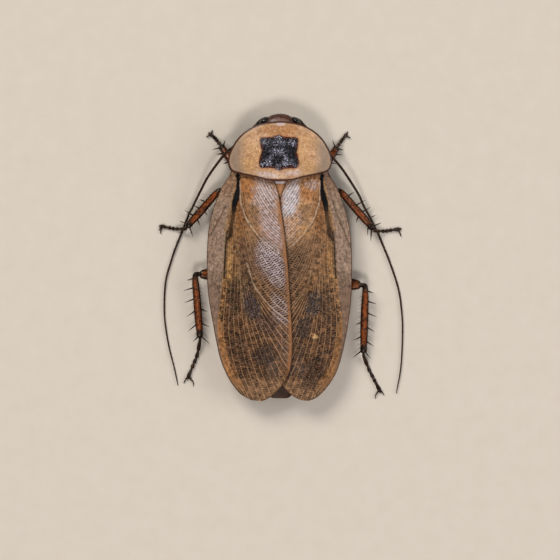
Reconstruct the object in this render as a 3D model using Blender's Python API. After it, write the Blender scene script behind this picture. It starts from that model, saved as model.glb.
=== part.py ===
"""A large forest cockroach, life size, standing on its six feet with its wings folded.

The head points to +Y and +Z is up. Sizes below are in millimetres and the meshes are in metres.
The origin is on the floor, under the middle of the animal's length and breadth.
"""

import math

import bmesh
import bpy
from mathutils import Vector, geometry

MM = 0.001
GAP = 0.3
X_AXIS, Y_AXIS, Z_AXIS = Vector((1, 0, 0)), Vector((0, 1, 0)), Vector((0, 0, 1))

# Heights above the floor, along the body from the pronotum to the wing tips
CROWN = [
    (16.0, 6.8), (13.0, 7.1), (8.0, 7.8), (0.0, 8.1), (-8.0, 8.0), (-15.0, 7.4), (-20.0, 6.5), (-25.2, 4.4),
]
EDGE = [(16.0, 4.9), (10.0, 4.8), (0.0, 4.5), (-12.0, 4.2), (-20.0, 4.2), (-25.2, 3.6)]
WING_HALF = [
    (16.0, 8.6), (12.0, 10.4), (8.0, 11.6), (2.0, 12.6), (-6.0, 12.7), (-14.0, 11.8), (-20.0, 10.4),
    (-25.2, 9.0),
]
WING_ARCH = 2.2
WING_THICK = 0.55
WING_RIM_STEP = 1.9
WING_GRID = 2.6

# Where the fore wings overlap, the left one rises and the right one sinks
LEFT_LIFT = 0.3
RIGHT_DROP = 0.8
LAP_FRONT = 12.6
LAP_RUN = 2.5
LAP_LEFT_FROM = -4.0
LAP_RIGHT_TO = 4.6
LAP_BLEND = 2.0

# The hind wings lie under the fore wings, lower where these overlap
HINDWING_HALF = [
    (0.25, 8.6), (5.0, 8.6), (7.4, 6.0), (8.0, 0.0), (7.8, -8.0), (6.8, -14.5), (4.6, -19.2), (0.25, -20.6),
]
HINDWING_MIDDLE = [(0.25, -18.4), (0.25, 6.4)]
HINDWING_DEEP = 1.74
HINDWING_RISE = 0.84
HINDWING_RISE_FROM = 4.2
HINDWING_RISE_RUN = 1.6
HINDWING_THICK = 0.5
HINDWING_GRID = 2.9

# Plan outlines, one side at a time, from the front to the back
PRONOTUM_HALF = [
    (0.0, 23.55), (2.0, 23.35), (3.9, 22.9), (5.6, 22.05), (7.0, 20.9), (8.1, 19.4), (8.85, 17.7),
    (9.0, 16.2), (8.4, 15.0), (7.0, 14.45), (4.2, 13.85), (2.0, 13.3), (0.0, 13.2),
]
PRONOTUM_CENTRE = (0.0, 17.8)
PRONOTUM_TOP = 9.1
PRONOTUM_THICK = 0.6
PRONOTUM_DOME = 1.2
PRONOTUM_GRID = 1.9
PRONOTUM_RIM_STEP = 1.5
BACK_RIM, BACK_FALL = 8.3, 2.1
FRONT_RIM, FRONT_FALL = 7.3, 0.9
TEGMEN_LEFT_COSTA = [
    (-8.3, 15.6), (-8.7, 14.3), (-10.2, 11.9), (-11.5, 8.6), (-12.3, 5.3), (-12.6, 1.6), (-12.65, -2.0),
    (-12.5, -5.6), (-12.0, -9.3), (-11.0, -14.7), (-10.2, -18.0), (-8.9, -20.9), (-7.1, -23.4),
    (-5.0, -24.7),
]
TEGMEN_LEFT_SUTURE = [
    (-1.6, 14.6), (-0.7, 12.6), (-0.2, 10.8), (0.35, 7.5), (0.9, 3.5), (1.45, -2.0), (1.8, -7.4),
    (2.1, -12.2), (2.15, -15.8), (1.85, -19.1), (1.3, -20.7), (0.5, -22.0), (-0.5, -23.1), (-1.7, -24.2),
    (-3.2, -24.9),
]
TEGMEN_RIGHT_COSTA = [
    (8.2, 15.6), (8.6, 14.3), (10.1, 11.6), (11.3, 8.2), (12.1, 4.9), (12.4, 1.6), (12.45, -2.0),
    (12.4, -5.6), (12.1, -9.3), (11.55, -13.0), (10.8, -16.6), (9.8, -19.8), (8.2, -22.4), (6.4, -24.2),
    (4.9, -24.85),
]
TEGMEN_RIGHT_SUTURE = [
    (1.9, 14.6), (0.9, 12.6), (0.2, 10.8), (-0.6, 7.5), (-1.3, 3.5), (-1.9, -2.0), (-2.2, -7.4),
    (-2.2, -12.2), (-1.9, -15.8), (-1.2, -19.1), (-0.4, -21.0), (0.6, -22.4), (1.5, -23.4), (2.6, -24.2),
    (3.6, -24.7),
]

# Veins of a tegmen: across runs from 0 at the inner edge to 1 at the outer edge, with y in millimetres
VEIN_HALF_WIDTH = 0.26
VEIN_RISE = 0.16
VEIN_STEP = 2.4
VEINS = [
    [(0.76, 13.2), (0.72, 9.6), (0.765, 3.5), (0.81, -4.2), (0.87, -8.2), (0.95, -11.6)],
    [(0.68, 6.4), (0.70, 0.0), (0.73, -6.0), (0.80, -12.0), (0.90, -17.0)],
    [(0.62, 3.6), (0.60, -4.0), (0.62, -11.0), (0.68, -17.0), (0.75, -21.8)],
    [(0.57, 1.2), (0.50, -5.0), (0.49, -12.0), (0.52, -18.0), (0.56, -23.0)],
    [(0.66, 8.2), (0.57, 4.2), (0.46, -0.4), (0.39, -6.0), (0.35, -14.0), (0.34, -21.0)],
    [(0.35, -0.8), (0.25, -6.0), (0.20, -12.0), (0.17, -18.0)],
    [(0.24, -1.4), (0.14, -6.0), (0.08, -11.5)],
    [(0.66, 11.2), (0.61, 8.8), (0.50, 6.4), (0.36, 3.8), (0.22, 1.9), (0.07, 0.6)],
    [(0.50, 11.6), (0.43, 8.8), (0.30, 6.0), (0.10, 3.4)],
    [(0.33, 11.4), (0.24, 8.6), (0.08, 6.2)],
]

# Trunk rows of (y, half width, low z, high z)
PROTHORAX = [
    (20.9, 1.3, 3.9, 5.9), (20.2, 1.9, 3.5, 6.3), (19.2, 3.6, 3.2, 7.0), (17.6, 5.0, 3.1, 7.6),
    (15.9, 4.8, 3.1, 6.9),
]
MESOTHORAX = [(15.5, 5.0, 3.15, 5.4), (13.6, 6.4, 3.15, 5.6), (11.5, 7.2, 3.15, 5.8), (9.4, 7.4, 3.15, 5.8)]
METATHORAX = [(9.1, 7.3, 3.15, 5.1), (6.0, 7.9, 3.15, 5.2), (3.0, 8.2, 3.2, 5.1)]
THORAX_SIDES = 16
SCUTELLUM = [(-1.0, 14.2), (0.1, 11.5), (1.3, 14.2)]
SCUTELLUM_LOW = 5.2
SCUTELLUM_HIGH = 7.05
SCUTELLUM_TAPER = 0.9
ABDOMEN = [
    (2.7, 8.2, 3.3, 5.1), (-2.0, 9.3, 3.1, 5.3), (-5.6, 9.7, 2.85, 5.3), (-9.0, 9.7, 2.3, 5.2),
    (-14.0, 8.8, 1.95, 4.7), (-18.0, 7.2, 2.0, 4.2), (-20.0, 5.9, 2.2, 3.8), (-22.0, 4.1, 2.45, 3.6),
    (-23.2, 2.8, 2.6, 3.45), (-24.3, 1.5, 2.8, 3.3),
]
ABDOMEN_CUTS = [2.7, -0.9, -4.6, -8.2, -11.6, -14.8, -17.7, -20.3, -24.3]
ABDOMEN_SIDES = 20
RING_STATIONS = [(0.02, 0.22), (0.5, 0.06), (0.98, 0.0)]

# Tail feelers
CERCUS_ROOT = (3.6, -20.6, 1.85)
CERCUS_TIP = (5.9, -23.8, 2.6)
CERCUS_BEADS = 6
CERCUS_RADIUS = 0.46
CERCUS_TAPER = 0.05

# Head rows of (z, y, half width, half depth), from the crown down
HEAD = [
    (6.35, 22.9, 1.2, 0.7), (6.1, 23.05, 1.75, 1.25), (5.6, 23.15, 2.0, 1.6), (4.9, 23.2, 2.05, 1.75),
    (4.0, 23.1, 2.1, 1.7), (3.4, 22.85, 2.2, 1.55), (2.9, 22.5, 1.95, 1.3), (2.4, 22.15, 1.55, 1.05),
]
EYE_HALF = (0.62, 0.85, 1.25)
EYE_CENTRE = (2.98, 23.6, 5.0)
LABRUM = [(1.15, 22.6, 0.55, 0.22), (1.5, 22.75, 0.85, 0.27), (2.1, 22.85, 0.95, 0.28)]
LABIUM = [(0.95, 20.6, 0.5, 0.28), (1.4, 20.7, 0.8, 0.3), (2.1, 20.85, 0.9, 0.3)]
MANDIBLE = [(1.05, 21.85, 0.28, 0.3), (1.45, 21.8, 0.4, 0.36), (2.05, 21.75, 0.5, 0.38)]
MANDIBLE_FROM_MIDDLE = 0.17
PALP_ROUTE = [(1.45, 21.3, 1.7), (1.75, 21.9, 1.35), (2.3, 22.5, 1.5), (2.5, 23.2, 1.1), (2.3, 23.7, 0.7)]
PALP_JOINTS = 4
PALP_RADIUS = 0.27
PALP_NECK = 0.2
MOUTH_SIDES = 10

BLACK = (0.012, 0.010, 0.009)
DARK_BROWN = (0.045, 0.020, 0.012)
AMBER = (0.30, 0.10, 0.025)
TAN = (0.50, 0.30, 0.13)
WING_BROWN = (0.27, 0.15, 0.065)
VEIL = (0.32, 0.22, 0.13)
CHESTNUT = (0.16, 0.06, 0.03)


def clear_scene():
    for old in list(bpy.data.objects):
        bpy.data.objects.remove(old, do_unlink=True)


def material(name, colour, roughness):
    made = bpy.data.materials.get(name) or bpy.data.materials.new(name)
    made.use_nodes = True
    shader = made.node_tree.nodes["Principled BSDF"]
    shader.inputs["Base Color"].default_value = (*colour, 1.0)
    shader.inputs["Roughness"].default_value = roughness
    shader.inputs["Metallic"].default_value = 0.0
    return made


def finish(bm, name, look):
    """Turn a bmesh in millimetres into an object in metres."""
    bmesh.ops.scale(bm, vec=(MM, MM, MM), verts=bm.verts)
    bmesh.ops.recalc_face_normals(bm, faces=bm.faces)
    mesh = bpy.data.meshes.new(name)
    bm.to_mesh(mesh)
    bm.free()
    mesh.shade_smooth()
    mesh.set_sharp_from_angle(angle=math.radians(40.0))
    mesh.materials.append(material(name, *look))
    made = bpy.data.objects.new(name, mesh)
    bpy.context.scene.collection.objects.link(made)
    return made


def along(table, y):
    """Read a value from a short table of (y, value) pairs that runs from front to back."""
    if y >= table[0][0]:
        return table[0][1]
    for (y0, v0), (y1, v1) in zip(table, table[1:]):
        if y >= y1:
            t = (y0 - y) / (y0 - y1)
            return v0 + (v1 - v0) * t
    return table[-1][1]


def smooth_path(points, spacing):
    """Points about one spacing apart on a smooth curve through the given ones."""
    pts = [Vector(p) for p in points]
    ends = [pts[0] * 2 - pts[1]] + pts + [pts[-1] * 2 - pts[-2]]
    dense = []
    for i in range(1, len(ends) - 2):
        a, b, c, d = ends[i - 1 : i + 3]
        for k in range(12):
            t = k / 12
            bend = (a * 2 - b * 5 + c * 4 - d) * t * t + (b * 3 - a - c * 3 + d) * t**3
            dense.append((b * 2 + (c - a) * t + bend) * 0.5)
    dense.append(pts[-1])
    reach = [0.0]
    for a, b in zip(dense, dense[1:]):
        reach.append(reach[-1] + (b - a).length)
    count = max(2, round(reach[-1] / spacing))
    out, j = [], 0
    for k in range(count + 1):
        want = reach[-1] * k / count
        while j < len(dense) - 2 and reach[j + 1] < want:
            j += 1
        t = (want - reach[j]) / max(reach[j + 1] - reach[j], 1e-9)
        out.append(dense[j].lerp(dense[j + 1], min(1.0, t)))
    return out


def ring(centre, side, up, half_side, half_up, sides, square=1.0):
    """Points round an ellipse. A square under 1 makes it boxier."""
    points = []
    for k in range(sides):
        angle = math.tau * (k + 0.5) / sides
        c, s = math.cos(angle), math.sin(angle)
        across = math.copysign(abs(c) ** square, c)
        rise = math.copysign(abs(s) ** square, s)
        points.append(centre + side * (half_side * across) + up * (half_up * rise))
    return points


def loft(rings, floor=None):
    """A closed skin over rings of equal length, with flat ends."""
    bm = bmesh.new()
    loops = []
    for points in rings:
        if floor is not None:
            points = [Vector((p.x, p.y, max(p.z, floor))) for p in points]
        loops.append([bm.verts.new(p) for p in points])
    for low, high in zip(loops, loops[1:]):
        for k in range(len(low)):
            n = (k + 1) % len(low)
            bm.faces.new((low[k], low[n], high[n], high[k]))
    bm.faces.new(list(reversed(loops[0])))
    bm.faces.new(loops[-1])
    return bm


def profile(table, t):
    """Half width and half height at t, read from rows of (t, half width, half height)."""
    for (t0, w0, h0), (t1, w1, h1) in zip(table, table[1:]):
        if t <= t1:
            f = (t - t0) / (t1 - t0)
            return w0 + (w1 - w0) * f, h0 + (h1 - h0) * f
    return table[-1][1:]


def limb(path, table, sides, floor=None):
    """A tube along a path, whose width and height follow a table."""
    total = sum((b - a).length for a, b in zip(path, path[1:]))
    walked, rings = 0.0, []
    for i, point in enumerate(path):
        if i:
            walked += (point - path[i - 1]).length
        ahead = path[min(i + 1, len(path) - 1)] - path[max(i - 1, 0)]
        side = ahead.cross(Z_AXIS).normalized()
        up = side.cross(ahead).normalized()
        wide, high = profile(table, walked / total)
        rings.append(ring(point, side, up, wide, high, sides))
    return loft(rings, floor)


def straight(a, b, stops):
    """Points from a to b at the given fractions."""
    a, b = Vector(a), Vector(b)
    return [a.lerp(b, t) for t in stops]


def spine(root, tip, radius, sides=5):
    """A sharp cone from a root sunk in its limb to a fine tip."""
    root, tip = Vector(root), Vector(tip)
    ahead = (tip - root).normalized()
    side = ahead.cross(Z_AXIS).normalized()
    up = side.cross(ahead)
    bm = bmesh.new()
    base = [bm.verts.new(p) for p in ring(root, side, up, radius, radius, sides)]
    point = bm.verts.new(tip)
    for k in range(sides):
        bm.faces.new((base[k], base[(k + 1) % sides], point))
    bm.faces.new(list(reversed(base)))
    return bm


def keep_largest(made):
    """Drop every scrap but the largest closed surface."""
    bm = bmesh.new()
    bm.from_mesh(made.data)
    left, groups = set(bm.verts), []
    while left:
        stack, group = [left.pop()], set()
        while stack:
            vert = stack.pop()
            group.add(vert)
            for edge in vert.link_edges:
                other = edge.other_vert(vert)
                if other in left:
                    left.discard(other)
                    stack.append(other)
        groups.append(group)
    groups.sort(key=len, reverse=True)
    for group in groups[1:]:
        bmesh.ops.delete(bm, geom=list(group), context="VERTS")
    bm.to_mesh(made.data)
    bm.free()


def fuse(made, extras, look):
    """Join closed pieces to an object with one Boolean union and apply it."""
    pieces = bpy.data.collections.new(made.name + "_pieces")
    for i, bm in enumerate(extras):
        pieces.objects.link(detached(bm, f"{made.name}_piece{i}", look))
    union = made.modifiers.new("union", "BOOLEAN")
    union.operation = "UNION"
    union.operand_type = "COLLECTION"
    union.collection = pieces
    union.solver = "EXACT"
    evaluated = made.evaluated_get(bpy.context.evaluated_depsgraph_get())
    joined = bpy.data.meshes.new_from_object(evaluated)
    made.modifiers.clear()
    made.data = joined
    for piece in list(pieces.objects):
        bpy.data.objects.remove(piece, do_unlink=True)
    bpy.data.collections.remove(pieces)
    keep_largest(made)


def detached(bm, name, look):
    """A loose mesh object for a union, outside the scene."""
    made = finish(bm, name, look)
    bpy.context.scene.collection.objects.unlink(made)
    return made


def soft_step(t):
    t = min(1.0, max(0.0, t))
    return t * t * (3.0 - 2.0 * t)


def membrane(x, y):
    """Height of the arched back that the folded wings make."""
    crown, edge = along(CROWN, y), along(EDGE, y)
    return crown - (crown - edge) * min(abs(x) / along(WING_HALF, y), 1.0) ** WING_ARCH


def distance(p, path):
    """Distance in plan from a point to a path."""
    best = 1e9
    for a, b in zip(path, path[1:]):
        d = b - a
        t = min(1.0, max(0.0, (p - a).dot(d) / max(d.length_squared, 1e-12)))
        best = min(best, (p - a - d * t).length)
    return best


def inside(p, loop):
    hits = False
    for a, b in zip(loop, loop[1:] + loop[:1]):
        if (a.y > p.y) != (b.y > p.y) and p.x < (b.x - a.x) * (p.y - a.y) / (b.y - a.y) + a.x:
            hits = not hits
    return hits


def sheet(name, loop, folds, step, top, bottom, look):
    """A thin shell over a plan outline, split into triangles alike on both faces."""
    coords = list(loop)
    lines = [(i, (i + 1) % len(loop)) for i in range(len(loop))]
    for path in folds:
        for shift in (-VEIN_HALF_WIDTH, 0.0, VEIN_HALF_WIDTH):
            first = len(coords)
            for i, point in enumerate(path):
                ahead = (path[min(i + 1, len(path) - 1)] - path[max(i - 1, 0)]).normalized()
                coords.append(point + Vector((-ahead.y, ahead.x)) * shift)
            lines += [(first + i, first + i + 1) for i in range(len(path) - 1)]
    rim = loop + loop[:1]
    low = Vector((min(p.x for p in loop), min(p.y for p in loop)))
    high = Vector((max(p.x for p in loop), max(p.y for p in loop)))
    row, y = 0, low.y + step / 2
    while y < high.y:
        x = low.x + step * (0.5 if row % 2 else 0.0)
        while x < high.x:
            spot = Vector((x, y))
            clear = distance(spot, rim) > step * 0.45
            if clear and inside(spot, loop) and all(distance(spot, path) > step * 0.45 for path in folds):
                coords.append(spot)
            x += step
        y += step * 0.87
        row += 1
    points, _, faces, *_ = geometry.delaunay_2d_cdt(coords, lines, [], 0, 1e-3)
    faces = [f for f in faces if inside(sum((points[i] for i in f), Vector((0, 0))) / 3, loop)]
    bm = bmesh.new()
    upper = [bm.verts.new((p.x, p.y, top(p.x, p.y))) for p in points]
    lower = [bm.verts.new((p.x, p.y, bottom(p.x, p.y))) for p in points]
    edges = {}
    for face in faces:
        bm.faces.new([upper[i] for i in face])
        bm.faces.new([lower[i] for i in reversed(face)])
        for a, b in zip(face, face[1:] + face[:1]):
            edges[(a, b)] = True
    for a, b in edges:
        if (b, a) not in edges:
            bm.faces.new((upper[b], upper[a], lower[a], lower[b]))
    bmesh.ops.delete(bm, geom=[v for v in bm.verts if not v.link_faces], context="VERTS")
    return finish(bm, name, look)


def plan(points, spacing):
    """A smooth plan curve as flat vectors."""
    return [p.to_2d() for p in smooth_path([(x, y, 0.0) for x, y in points], spacing)]


def make_pronotum():
    """The shield over the prothorax and the head."""
    right = plan(PRONOTUM_HALF, PRONOTUM_RIM_STEP)
    loop = right + [Vector((-p.x, p.y)) for p in reversed(right[1:-1])]
    centre = Vector(PRONOTUM_CENTRE)
    half = max(p.x for p in right)
    front_y, back_y = right[0].y, right[-1].y

    def reach(x, y):
        ray = Vector((x, y)) - centre
        if ray.length < 1e-6:
            return 0.0
        far = centre + ray.normalized() * 40.0
        for a, b in zip(loop, loop[1:] + loop[:1]):
            hit = geometry.intersect_line_line_2d(centre, far, a, b)
            if hit is not None:
                return min(1.0, ray.length / (hit - centre).length)
        return 1.0

    def top(x, y):
        back = BACK_RIM - BACK_FALL * (x / half) ** 2
        front = FRONT_RIM - FRONT_FALL * (x / half) ** 2
        rim = back + (front - back) * soft_step((y - back_y) / (front_y - back_y))
        return rim + (PRONOTUM_TOP - rim) * (1.0 - reach(x, y) ** 2) ** PRONOTUM_DOME

    def bottom(x, y):
        return top(x, y) - PRONOTUM_THICK

    return sheet("pronotum", loop, [], PRONOTUM_GRID, top, bottom, (TAN, 0.25))


def edge_x(outline, y):
    return along([(q, p) for p, q in outline], y)


def make_tegmen(side, costa, suture):
    """A leathery fore wing with its main veins raised. The left one lies over the right one."""
    outer, inner = plan(costa, WING_RIM_STEP), plan(suture, WING_RIM_STEP)
    loop = outer + list(reversed(inner))
    veins = []
    for vein in VEINS:
        spots = []
        for across, y in vein:
            x_in, x_out = edge_x(suture, y), edge_x(costa, y)
            spots.append((x_in + (x_out - x_in) * across, y))
        veins.append(plan(spots, VEIN_STEP))

    def base(x, y):
        lap = soft_step((LAP_FRONT - y) / LAP_RUN)
        if side == "left":
            return membrane(x, y) + LEFT_LIFT * lap * soft_step((x - LAP_LEFT_FROM) / LAP_BLEND)
        return membrane(x, y) - RIGHT_DROP * lap * soft_step((LAP_RIGHT_TO - x) / LAP_BLEND)

    def top(x, y):
        near = min(distance(Vector((x, y)), vein) for vein in veins)
        return base(x, y) + VEIN_RISE * max(0.0, 1.0 - near / VEIN_HALF_WIDTH)

    def bottom(x, y):
        return base(x, y) - WING_THICK

    return sheet(f"tegmen_{side}", loop, veins, WING_GRID, top, bottom, (WING_BROWN, 0.3))


def make_hindwing(side, sign):
    """The pleated hind wing, folded flat under the tegmen."""
    outer = plan([(sign * x, y) for x, y in HINDWING_HALF], WING_GRID)
    inner = plan([(sign * x, y) for x, y in HINDWING_MIDDLE], WING_GRID)

    def top(x, y):
        rise = HINDWING_RISE * soft_step((abs(x) - HINDWING_RISE_FROM) / HINDWING_RISE_RUN)
        return membrane(x, y) - HINDWING_DEEP + rise

    def bottom(x, y):
        return top(x, y) - HINDWING_THICK

    return sheet(f"hindwing_{side}", outer + inner, [], HINDWING_GRID, top, bottom, (VEIL, 0.4))


def trunk(name, rows, sides, look, square=0.85):
    """A body piece from rows of (y, half width, low z, high z)."""
    rings = []
    for y, half, low, high in rows:
        centre = Vector((0.0, y, (low + high) / 2))
        rings.append(ring(centre, X_AXIS, Z_AXIS, half, (high - low) / 2, sides, square))
    return finish(loft(rings), name, look)


def make_thorax():
    """Three pieces of trunk. The middle one carries the small three-sided plate between the wings."""
    look = (DARK_BROWN, 0.35)
    trunk("prothorax", PROTHORAX, THORAX_SIDES, look)
    middle = trunk("mesothorax", MESOTHORAX, THORAX_SIDES, look)
    low = [Vector((x, y, SCUTELLUM_LOW)) for x, y in SCUTELLUM]
    high = [Vector((x * SCUTELLUM_TAPER, y, SCUTELLUM_HIGH)) for x, y in SCUTELLUM]
    fuse(middle, [loft([low, high])], look)
    trunk("metathorax", METATHORAX, THORAX_SIDES, look)


def make_abdomen():
    """Eight overlapping rings that narrow to the tail plate."""
    widths = [(y, half) for y, half, _, _ in ABDOMEN]
    lows = [(y, low) for y, _, low, _ in ABDOMEN]
    highs = [(y, high) for y, _, _, high in ABDOMEN]
    stations = []
    for front, back in zip(ABDOMEN_CUTS, ABDOMEN_CUTS[1:]):
        for t, shrink in RING_STATIONS:
            y = front + (back - front) * t
            low, high = along(lows, y) + shrink / 2, along(highs, y) - shrink / 2
            stations.append((y, along(widths, y) - shrink, low, high))
    trunk("abdomen", stations, ABDOMEN_SIDES, (DARK_BROWN, 0.35), 0.9)


def make_cercus(side, sign):
    """A short flat tail feeler of six beads."""
    ends = [(sign * x, y, z) for x, y, z in (CERCUS_ROOT, CERCUS_TIP)]
    stops = [k / (2 * CERCUS_BEADS) for k in range(2 * CERCUS_BEADS + 1)]
    table = [(0.0, CERCUS_RADIUS * 0.75, CERCUS_RADIUS * 0.75)]
    for k in range(CERCUS_BEADS):
        wide = CERCUS_RADIUS - CERCUS_TAPER * k
        table.append(((k + 0.5) / CERCUS_BEADS, wide, wide * 0.9))
        table.append(((k + 1) / CERCUS_BEADS - 0.002, wide * 0.75, wide * 0.68))
    table.append((1.0, 0.08, 0.08))
    finish(limb(straight(*ends, stops), table, 8), f"cercus_{side}", (DARK_BROWN, 0.4))


def stack(name, rows, sides, look, sign=0, square=1.0):
    """An upright piece from rows of (z, y, half width, half depth), off the middle if sign is not 0."""
    rings = []
    for z, y, wide, deep in rows:
        centre = Vector((sign * (wide + MANDIBLE_FROM_MIDDLE), y, z))
        rings.append(ring(centre, X_AXIS, Y_AXIS, wide, deep, sides, square))
    return finish(loft(rings), name, look)


def make_head():
    """The head hangs under the front of the shield, with the face forward and the mouth below."""
    stack("head", list(reversed(HEAD)), THORAX_SIDES, (CHESTNUT, 0.25), square=0.9)
    for side, sign in (("left", -1), ("right", 1)):
        x, y, z = EYE_CENTRE
        bm = bmesh.new()
        bmesh.ops.create_uvsphere(bm, u_segments=10, v_segments=7, radius=1.0)
        bmesh.ops.scale(bm, vec=EYE_HALF, verts=bm.verts)
        bmesh.ops.translate(bm, vec=(sign * x, y, z), verts=bm.verts)
        finish(bm, f"eye_{side}", (BLACK, 0.08))


def make_mouth():
    """Upper lip, jaws, lower lip and feelers of the mouth."""
    look = (DARK_BROWN, 0.3)
    stack("labrum", LABRUM, MOUTH_SIDES, look)
    stack("labium", LABIUM, MOUTH_SIDES, look)
    for side, sign in (("left", -1), ("right", 1)):
        stack(f"mandible_{side}", MANDIBLE, MOUTH_SIDES, (BLACK, 0.2), sign)
        path = smooth_path([(sign * x, y, z) for x, y, z in PALP_ROUTE], 0.3)
        table = [(0.0, PALP_NECK, PALP_NECK)]
        for k in range(PALP_JOINTS):
            start = k / PALP_JOINTS
            table.append((start + 0.04, PALP_NECK, PALP_NECK))
            table.append((start + 0.19, PALP_RADIUS, PALP_RADIUS))
            table.append((start + 0.235, PALP_NECK, PALP_NECK))
        table.append((1.0, PALP_NECK, PALP_NECK))
        finish(limb(path, table, 6), f"palp_{side}", look)


ANTENNAE = {
    "left": [
        (-2.1, 24.0, 3.05), (-3.0, 23.8, 2.95), (-3.75, 23.35, 3.4), (-4.6, 22.8, 4.4), (-5.8, 21.7, 5.1),
        (-7.2, 20.3, 5.1), (-8.5, 18.95, 4.9), (-9.4, 18.1, 4.8), (-12.2, 14.4, 4.2), (-13.8, 11.5, 3.2),
        (-15.0, 9.1, 2.35), (-15.6, 7.9, 2.2), (-15.85, 7.4, 1.95), (-16.2, 6.5, 1.2), (-16.5, 5.8, 0.72),
        (-16.8, 5.0, 0.42), (-17.2, 4.0, 0.36), (-17.9, 2.3, 0.38), (-18.75, -0.1, 0.38),
        (-19.8, -3.8, 0.36), (-20.1, -7.4, 0.35), (-20.0, -11.1, 0.34), (-19.3, -15.5, 0.33), (-18.4, -19.1, 0.32),
        (-17.75, -22.2, 0.31),
    ],
    "right": [
        (2.1, 24.0, 3.05), (3.0, 23.8, 2.95), (3.75, 23.4, 3.4), (4.6, 22.85, 4.4), (5.8, 21.7, 5.1),
        (7.1, 20.3, 5.1), (8.3, 18.95, 4.9), (9.0, 17.6, 4.8), (10.7, 15.4, 4.4), (12.4, 12.9, 3.6),
        (13.7, 10.8, 2.8), (14.45, 9.1, 2.35), (14.9, 8.25, 2.15), (15.35, 7.45, 1.5), (15.75, 6.75, 1.05),
        (16.2, 5.85, 0.72), (16.6, 5.05, 0.44), (17.1, 4.05, 0.36), (17.85, 2.2, 0.38), (19.1, -0.9, 0.38),
        (20.6, -5.6, 0.36), (21.25, -10.3, 0.35), (21.3, -14.7, 0.34), (20.95, -19.5, 0.33),
        (20.2, -23.6, 0.32),
    ],
}
ANTENNA_CUTS = [0.045, 0.3, 0.52, 0.76]
ANTENNA_ROOT_RADIUS = 0.27
ANTENNA_TAPER = 0.14
ANTENNA_TIP_RADIUS = 0.07
ANTENNA_SPACING = 0.2
SCAPE_RADII = (0.3, 0.45, 0.4, 0.26)


def make_antenna(side):
    """A scape at the face, then four lengths of fine rings that lie out along the body."""
    path = smooth_path(ANTENNAE[side], ANTENNA_SPACING)
    names = ["scape", "a", "b", "c", "d"]
    bounds = [0.0] + ANTENNA_CUTS + [1.0]
    trim = GAP / 2 / (len(path) * ANTENNA_SPACING)
    for k, name in enumerate(names):
        first = bounds[k] + (trim if k else 0.0)
        last = bounds[k + 1] - (trim if name != names[-1] else 0.0)
        step = 0.012 if name == "scape" else 0.02
        count = max(3, round((last - first) / step))
        points, table = [], []
        for i in range(count + 1):
            t = first + (last - first) * i / count
            spot = t * (len(path) - 1)
            j = min(int(spot), len(path) - 2)
            points.append(path[j].lerp(path[j + 1], spot - j))
            radius = ANTENNA_ROOT_RADIUS - ANTENNA_TAPER * t
            if name == "scape":
                radius = SCAPE_RADII[round(3 * i / count)]
            elif t > 0.985:
                radius = ANTENNA_TIP_RADIUS
            table.append((i / count, radius, radius))
        full = f"antenna_{side}_{name}"
        finish(limb(points, table, 6), full, (BLACK, 0.35))


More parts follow.
